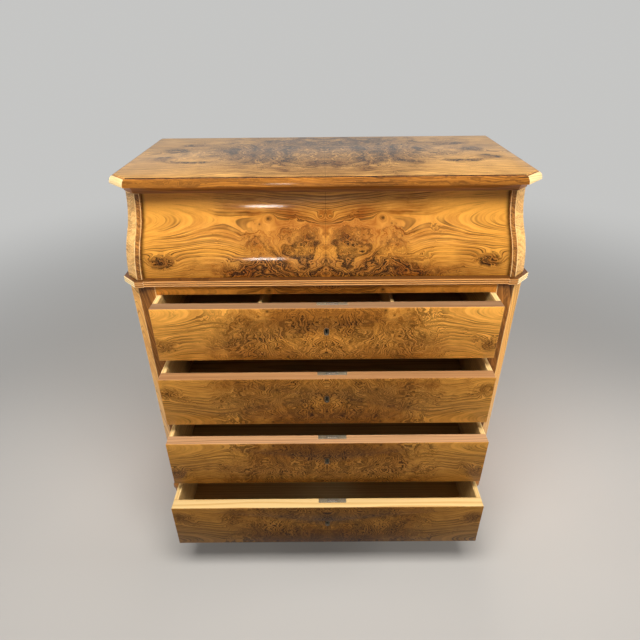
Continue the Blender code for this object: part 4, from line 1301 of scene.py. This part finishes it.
for hinge in ("hinge_left", "hinge_right"):
    low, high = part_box(hinge + "_frame_leaf")
    parting = (low.z + high.z) / 2
    row = low.y + HINGE_SCREW_INSET
    spots = [(low.x + share * (high.x - low.x), row) for share in HINGE_SCREW_SHARES]
    for leaf, body, upward in (("_frame_leaf", "carcase", True), ("_lid_leaf", "lid", False)):
        level = parting - HINGE_SCREW_SUNK if upward else parting + HINGE_SCREW_SUNK
        places = [Vector((x, y, level)) for x, y in spots]
        add_screws(hinge + leaf + "_screws", body, HINGE_BRASS, places, upward)

# %% Ease the lid's fittings
FRAME_EDGE = 0.0015
for end in ("_frame_leaf", "_lid_leaf"):
    for hinge in ("hinge_left", "hinge_right"):
        eased_node(hinge + end, [HINGE_BRASS], CRISP_EDGE)
eased_node("mirror_frame", [RAIL_WALNUT], FRAME_EDGE)
eased_node("mirror_glass", [MIRROR_GLASS], BOARD_EDGE)
report_pieces()

# %% [markdown]
# ## Mouldings
#
# The solids show each moulding with a few flats. Here the same profiles are swept with many more
# steps. A plan line runs round the front and the two sides, it is pushed outwards by the profile's
# projection at each level, and the rings that this gives are bridged into one skin.

# %% Define the sweep
BED_DEPTH = 0.030
CORNER_CANT = 0.025
BRACKET_CANT = 0.028
STILE_DEPTH = 0.045


def both_sides(right):
    """Put the mirror image of a plan line before it."""
    return [Vector((-point.x, point.y)) for point in reversed(right)] + right


def corner_path(front, cant):
    """Plan line of the carcase: left side, canted corner, front, canted corner, right side."""
    right = [
        Vector((HALF_WIDTH - cant, front)),
        Vector((HALF_WIDTH, front + cant)),
        Vector((HALF_WIDTH, BACK)),
    ]
    return both_sides(right)


def offset_path(path, distance):
    """Move a plan line outwards, with its corners mitred and its ends square."""
    directions = [(end - start).normalized() for start, end in zip(path, path[1:])]
    normals = [Vector((along.y, -along.x)) for along in directions]
    moved = []
    for index, point in enumerate(path):
        before = normals[max(index - 1, 0)]
        after = normals[min(index, len(normals) - 1)]
        moved.append(point + (before + after) * distance / (1.0 + before.dot(after)))
    return moved


def bridge_rings(rings):
    """Bridge a stack of outlines and close both ends."""
    bm = bmesh.new()
    loops = []
    for ring in rings:
        corners = [bm.verts.new(point) for point in ring]
        loops.append([bm.edges.new(pair) for pair in zip(corners, corners[1:] + corners[:1])])
    for lower, upper in zip(loops, loops[1:]):
        bmesh.ops.bridge_loops(bm, edges=lower + upper)
    for end in (loops[0], loops[-1]):
        bmesh.ops.contextual_create(bm, geom=end)
    bmesh.ops.recalc_face_normals(bm, faces=bm.faces)
    return bm


def sweep(path, profile, inner):
    rings = []
    for projection, level in profile:
        plan = offset_path(path, projection) + list(reversed(inner))
        rings.append([(point.x, point.y, level) for point in plan])
    return bridge_rings(rings)


# %% Draw the profiles of the mouldings
REED_COUNT = 3
REED_STEPS = 10
REED_RELIEF = 0.002
WAIST_PROJECTION = 0.011
WAIST_BREAK = 0.004
BRACKET_FACE = 0.0115
BLOCK_MARGIN = 0.004             # the block is wider than the bracket on it
BLOCK_INNER = HALF_WIDTH - BRACKET_CANT - BRACKET_FACE - BLOCK_MARGIN + WAIST_PROJECTION
BED_FOOT = 0.002
BED_PROJECTION = 0.012
BASE_FILLET = 0.008
BASE_PROJECTION = 0.0095
BASE_TOP_PROJECTION = 0.002
BASE_DEPTH = 0.020
CURVE_STEPS = 14
FRIEZE_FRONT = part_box("bed_moulding")[0].y + BED_PROJECTION


def reeded_walnut(name, plain, crown_highlight_and_wear, groove_shade_and_wax):
    """Moulding walnut with wax in the grooves and the crowns of the reeds rubbed pale.

    The grooves are also painted shade, and the crowns a painted highlight.
    """
    material = plain.copy()
    material.name = name
    tree = material.node_tree
    shader = tree.nodes["Principled BSDF"]
    colour = shader.inputs["Base Color"].links[0].from_socket
    level = add_node(tree, "ShaderNodeSeparateXYZ", {0: place_on_object(tree)}).outputs["Z"]
    pitch = (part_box("waist_moulding")[1].z - WAIST_BOTTOM) / REED_COUNT
    turn = calc(tree, "DIVIDE", calc(tree, "SUBTRACT", level, WAIST_BOTTOM), pitch)
    away = calc(tree, "ABSOLUTE", calc(tree, "SUBTRACT", calc(tree, "FRACT", turn), 0.5))
    crown = calc(tree, "MULTIPLY", fade(tree, away, 0.26, 0.10), 0.75)
    rubbed = blend_colour(tree, crown, colour, crown_highlight_and_wear)
    groove = calc(tree, "MULTIPLY", fade(tree, away, 0.36, 0.49), 0.80)
    connect(tree, shader, Base_Color=blend_colour(tree, groove, rubbed, groove_shade_and_wax))
    return material


def reed_profile():
    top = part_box("waist_moulding")[1].z
    radius = (top - WAIST_BOTTOM) / (2 * REED_COUNT)
    profile = []
    for reed in range(REED_COUNT):
        middle = WAIST_BOTTOM + radius * (2 * reed + 1)
        for step in range(REED_STEPS):
            turn = math.pi * (step / REED_STEPS - 0.5)
            projection = WAIST_PROJECTION - REED_RELIEF * (1.0 - math.cos(turn))
            profile.append((projection, middle + radius * math.sin(turn)))
    profile.append((WAIST_PROJECTION - REED_RELIEF, top))
    return profile


def quarter_turn():
    """Equal steps from 0 to 1, each with its angle up to 90 degrees."""
    shares = [step / CURVE_STEPS for step in range(CURVE_STEPS + 1)]
    return [(share, math.pi / 2 * share) for share in shares]


def cove_profile():
    low, high = FRIEZE_TOP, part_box("bed_moulding")[1].z
    profile = []
    for share, turn in quarter_turn():
        projection = BED_FOOT + (BED_PROJECTION - BED_FOOT) * (1.0 - math.cos(turn))
        profile.append((projection, low + (high - low) * share))
    return profile


def base_profile():
    low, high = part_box("base_moulding")[0].z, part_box("base_moulding")[1].z
    start = low + BASE_FILLET
    profile = [(BASE_PROJECTION, low)]
    for _, turn in quarter_turn():
        projection = BASE_TOP_PROJECTION + (BASE_PROJECTION - BASE_TOP_PROJECTION) * math.cos(turn)
        profile.append((projection, start + (high - start) * math.sin(turn)))
    return profile


def waist_path():
    right = [
        Vector((BLOCK_INNER, FRONT + WAIST_BREAK)),
        Vector((BLOCK_INNER, FRONT)),
        *corner_path(FRONT, BRACKET_CANT)[3:],
    ]
    return both_sides(right)


def waist_inner():
    half = HALF_WIDTH + FIT
    right = [Vector((half, FRONT + STILE_DEPTH)), Vector((half, BACK))]
    return both_sides(right)


# %% Sweep the waist, bed and base mouldings
# Painted highlight and wear on the crowns of the reeds, painted shade and wax in the grooves
FRONT_CROWN_HIGHLIGHT_AND_WEAR = srgb(246, 188, 124)
FRONT_GROOVE_SHADE_AND_WAX = srgb(58, 28, 12)
CANT_CROWN_HIGHLIGHT_AND_WEAR = srgb(255, 236, 190)
CANT_GROOVE_SHADE_AND_WAX = srgb(150, 100, 54)
REEDED_WALNUT = reeded_walnut("reeded_walnut", MOULDING_WALNUT, FRONT_CROWN_HIGHLIGHT_AND_WEAR, FRONT_GROOVE_SHADE_AND_WAX)
REEDED_CANT_PAINTED_LIGHT_WALNUT = reeded_walnut("reeded_cant_walnut", NOSE_CANT_PAINTED_LIGHT_WALNUT, CANT_CROWN_HIGHLIGHT_AND_WEAR, CANT_GROOVE_SHADE_AND_WAX)


def add_moulding(node, bm, finishes, rule=None):
    ease_edges(bm, FINE_EDGE)
    finish_piece("dressed_" + node, bm, BODY_OF[node], finishes, (node,), rule)


waist = sweep(waist_path(), reed_profile(), waist_inner())
add_moulding("waist_moulding", waist, [REEDED_WALNUT, REEDED_CANT_PAINTED_LIGHT_WALNUT], canted_rule)
bed_path = corner_path(FRIEZE_FRONT, BRACKET_CANT)
bed_inner = offset_path(bed_path, -BED_DEPTH)
add_moulding("bed_moulding", sweep(bed_path, cove_profile(), bed_inner), [BED_PAINTED_SHADE_WALNUT])
base_path = corner_path(FRONT, CORNER_CANT)
base_inner = offset_path(base_path, -BASE_DEPTH)
add_moulding("base_moulding", sweep(base_path, base_profile(), base_inner), [PLINTH_WALNUT])
report_pieces()

# %% [markdown]
# ## Lid
#
# The lid is a veneered board with a quarter-round nose. The nose is widest at the bottom, and a small
# step parts it from the top. The same sweep makes it, without a hollow: its rings are whole outlines.

# %% Make the painted shade and wax in the quirk
def quirk_shade_and_wax():
    """Dirt and wax that gather in a groove, with painted shade: nearly black, dull, with a trace of brown.
    """
    material, tree, shader = new_material("quirk_shade_and_wax")
    place = place_on_object(tree)
    amount = fade(tree, noise(tree, place, 90.0, 3.0, 0.6), 0.40, 0.66)
    wax = blend_colour(tree, amount, srgb(40, 20, 10), srgb(96, 54, 24))
    connect(tree, shader, Base_Color=wax, Roughness=calc(tree, "MULTIPLY_ADD", amount, -0.2, 0.7))
    return material


QUIRK_SHADE_AND_WAX = quirk_shade_and_wax()

# %% Sweep the lid
LID_OVERHANG = 0.0155
LID_NOSE = 0.012
LID_FILLET = 0.0015
LID_QUIRK = 0.0012
LEVEL_MARGIN = 0.0001


def lid_profile():
    nose_height = LID_TOP - LID_FILLET - LID_BOTTOM
    profile = []
    for _, turn in quarter_turn():
        level = LID_BOTTOM + nose_height * math.sin(turn)
        profile.append((LID_OVERHANG + LID_NOSE * math.cos(turn), level))
    profile.append((LID_OVERHANG - LID_QUIRK, LID_TOP - LID_FILLET))
    profile.append((LID_OVERHANG - LID_QUIRK, LID_TOP))
    return profile


def lid_rule(face):
    """0 is the veneered top, 1 the nose, 2 its canted corners, 3 the front quirk, 4 the underside.

    2 is painted light, and 3 painted shade.
    """
    if face.normal.z < -0.9:
        return 4
    middle = face.calc_center_median()
    slanted = abs(face.normal.x) > 0.3 and face.normal.y < -0.3
    if middle.z > LID_TOP - LID_FILLET - LEVEL_MARGIN:
        if middle.z > LID_TOP - LID_FILLET / 4:
            return 0
        return 3 if abs(middle.x) < HALF_WIDTH - BRACKET_CANT / 2 and middle.y < 0.0 else 0
    return 2 if slanted else 1


lid_rings = []
for projection, level in lid_profile():
    lid_rings.append([(point.x, point.y, level) for point in offset_path(bed_path, projection)])
lid = bridge_rings(lid_rings)
ease_edges(lid, CRISP_EDGE)
lid_finishes = [TOP_VENEER, NOSE_WALNUT, NOSE_CANT_PAINTED_LIGHT_WALNUT, QUIRK_SHADE_AND_WAX, RAIL_WALNUT]
finish_piece("dressed_lid_board", lid, "lid", lid_finishes, ("lid_board",), lid_rule)
report_pieces()

# %% [markdown]
# ## Ogee frieze
#
# The front of the well is a board bent to an ogee, convex below and concave above, between two
# brackets with the same line. The curve is two equal arcs. The brackets are lofted through many
# levels, and the panel is one outline that is extruded from side to side.

# %% Loft the brackets and the panel
OGEE_SETBACK = 0.083
OGEE_RUNOUT = 0.0055
OGEE_PROUD = 0.001
OGEE_STEPS = 48
PANEL_RECESS = 0.010
PANEL_THICKNESS = 0.022
BRACKET_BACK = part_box("bracket_left")[1].y


def ogee_front(level):
    half_rise = (FRIEZE_TOP - WAIST_TOP) / 2 + OGEE_RUNOUT
    half_setback = OGEE_SETBACK / 2
    radius = (half_setback ** 2 + half_rise ** 2) / (2 * half_setback)
    foot = WAIST_TOP - OGEE_RUNOUT
    head = FRIEZE_TOP + OGEE_RUNOUT
    if level < foot + half_rise:
        depth = radius - math.sqrt(radius ** 2 - (level - foot) ** 2)
    else:
        depth = OGEE_SETBACK - radius + math.sqrt(radius ** 2 - (head - level) ** 2)
    return FRONT + depth - OGEE_PROUD


def frieze_levels():
    height = FRIEZE_TOP - FIT - WAIST_TOP
    return [WAIST_TOP + height * step / OGEE_STEPS for step in range(OGEE_STEPS + 1)]


for side, node in ((-1, "bracket_left"), (1, "bracket_right")):
    rings = []
    for level in frieze_levels():
        face = ogee_front(level)
        plan = (
            (HALF_WIDTH - BRACKET_CANT - BRACKET_FACE, face),
            (HALF_WIDTH - BRACKET_CANT, face),
            (HALF_WIDTH, face + BRACKET_CANT),
            (HALF_WIDTH, BRACKET_BACK),
            (HALF_WIDTH - BRACKET_CANT - BRACKET_FACE, BRACKET_BACK),
        )
        rings.append([(side * x, y, level) for x, y in plan])
    bm = bridge_rings(rings)
    ease_edges(bm, SOFT_EDGE, 3)
    bracket_finishes = [BRACKET_FACE_WALNUT, BRACKET_CANT_PAINTED_LIGHT_WALNUT]
    finish_piece("dressed_" + node, bm, "carcase", bracket_finishes, (node,), canted_rule)

panel_low, panel_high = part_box("ogee_panel")
line = [(ogee_front(level) + PANEL_RECESS, level) for level in frieze_levels()]
outline = line + [(y + PANEL_THICKNESS, level) for y, level in reversed(line)]
bm = bmesh.new()
add_prism(bm, outline, panel_low.x, panel_high.x)


def panel_rule(face):
    return 1 if face.normal.y > 0.2 else 0


panel = finish_piece(
    "dressed_ogee_panel",
    bm,
    "carcase",
    [OGEE_VENEER, AGED_PINE_ALONG_X],
    ("ogee_panel",),
    panel_rule,
)
mark_board(panel, 90)
report_pieces()

# %% [markdown]
# ## Stage and light
#
# The floor is plain and pale. A wide lamp hangs above and a little before the chest, as in a room lit
# from its ceiling: the lid and the swelling frieze are bright, and each drawer front is darker than
# the one above it, with painted shade in the drawer veneers as well. Two side lamps catch the canted
# corners, which are also painted lighter; one behind lights the back, and a weak one in front lights
# the frieze under the lid. A small lamp only draws two streaks in the polish of the ogee. The floor
# shows its pale colour to the camera and to reflections, and it sends less light back up, so that the
# drawers stay dark inside.

# %% Lay the floor
PALE = (0.56, 0.56, 0.55, 1.0)
DIM = (0.08, 0.08, 0.08, 1.0)
FLOOR_SIZE = 14.0
FLOOR_DROP = 0.0005
FLOOR_COLOUR = (0.57, 0.56, 0.55, 1.0)
FLOOR_BOUNCE = (0.12, 0.115, 0.11, 1.0)   # what it sends back to the object
GLOW_START = 0.5                 # from here outwards the floor turns into the plain backdrop
GLOW_FULL = 3.6
GLOW_LEAST = 0.04


def add_light_path_mask(tree):
    """1 where the camera, a reflection or a look through glass meets the surface."""
    path = add_node(tree, "ShaderNodeLightPath").outputs
    seen = calc(tree, "MAXIMUM", path["Is Camera Ray"], path["Is Glossy Ray"])
    return calc(tree, "MAXIMUM", seen, path["Is Transmission Ray"])


floor_bm = bmesh.new()
bmesh.ops.create_grid(floor_bm, x_segments=1, y_segments=1, size=FLOOR_SIZE)
floor_mesh = bpy.data.meshes.new("floor")
floor_bm.to_mesh(floor_mesh)
floor_bm.free()
floor = bpy.data.objects.new("floor", floor_mesh)
floor.location.z = -FLOOR_DROP
bpy.context.scene.collection.objects.link(floor)
floor_material, floor_tree, floor_shader = new_material("pale_floor")
floor_shader.inputs["Roughness"].default_value = 0.8
floor_shader.inputs["Specular IOR Level"].default_value = 0.1
seen = add_light_path_mask(floor_tree)
connect(floor_tree, floor_shader, Base_Color=blend_colour(floor_tree, seen, FLOOR_BOUNCE, FLOOR_COLOUR))
distance = calc_vector(floor_tree, "LENGTH", place_on_object(floor_tree))
far = fade(floor_tree, distance, GLOW_START, GLOW_FULL, GLOW_LEAST, 1.0)
share = calc(floor_tree, "MULTIPLY", far, seen)
glow = add_node(floor_tree, "ShaderNodeEmission", {"Color": PALE, "Strength": 1.0}).outputs[0]
surfaces = {0: share, 1: floor_shader.outputs[0], 2: glow}
mixed = add_node(floor_tree, "ShaderNodeMixShader", surfaces).outputs[0]
connect(floor_tree, floor_tree.nodes["Material Output"], Surface=mixed)
floor_mesh.materials.append(floor_material)
print("floor laid, half side", FLOOR_SIZE)

# %% Hang the lamps
WARM_WHITE = (1.0, 0.96, 0.90)


def soft_lamp(name, place, aim, size, power, in_polish=False, spread=math.pi):
    """An area lamp. One in_polish is only mirrored in the polish, and the others only light the wood."""
    data = bpy.data.lights.new(name, "AREA")
    data.shape = "RECTANGLE"
    data.size, data.size_y = size
    data.energy = power
    data.color = WARM_WHITE
    data.spread = spread
    lamp = bpy.data.objects.new(name, data)
    lamp.location = place
    lamp.rotation_euler = (Vector(aim) - Vector(place)).to_track_quat("-Z", "Y").to_euler()
    lamp.visible_glossy = in_polish
    lamp.visible_diffuse = not in_polish
    bpy.context.scene.collection.objects.link(lamp)


SIDE_SPREAD = math.radians(80)   # keeps the side lamps off the floor beside them
FRONT_SPREAD = math.radians(40)  # keeps the front lamp off the floor and the lowest drawer
soft_lamp("ceiling_lamp", (0.0, -0.85, 2.2), (0.0, -0.2, 0.6), (1.6, 0.7), 44.0)
soft_lamp("left_lamp", (-2.4, -0.2, 0.7), (0.0, 0.0, 0.7), (0.6, 0.9), 6.0, spread=SIDE_SPREAD)
soft_lamp("right_lamp", (2.4, -0.2, 0.7), (0.0, 0.0, 0.7), (0.6, 0.9), 10.0, spread=SIDE_SPREAD)
soft_lamp("back_lamp", (0.3, 2.8, 1.5), (0.0, 0.3, 0.5), (1.6, 1.2), 9.0, spread=SIDE_SPREAD)
soft_lamp("front_lamp", (-0.1, -2.6, 1.25), (0.0, 0.0, 0.90), (0.5, 0.3), 0.5, spread=FRONT_SPREAD)
soft_lamp("streak_lamp", (-0.47, -2.9, 1.87), (0.0, 0.0, 0.85), (0.27, 0.24), 12.0, in_polish=True)
print("lamps:", len(bpy.data.lights))

# %% Light the room softly
world = bpy.data.worlds.new("room")
world.use_nodes = True
room = world.node_tree
seen = add_light_path_mask(room)
connect(room, room.nodes["Background"], Color=blend_colour(room, seen, DIM, PALE))
bpy.context.scene.world = world
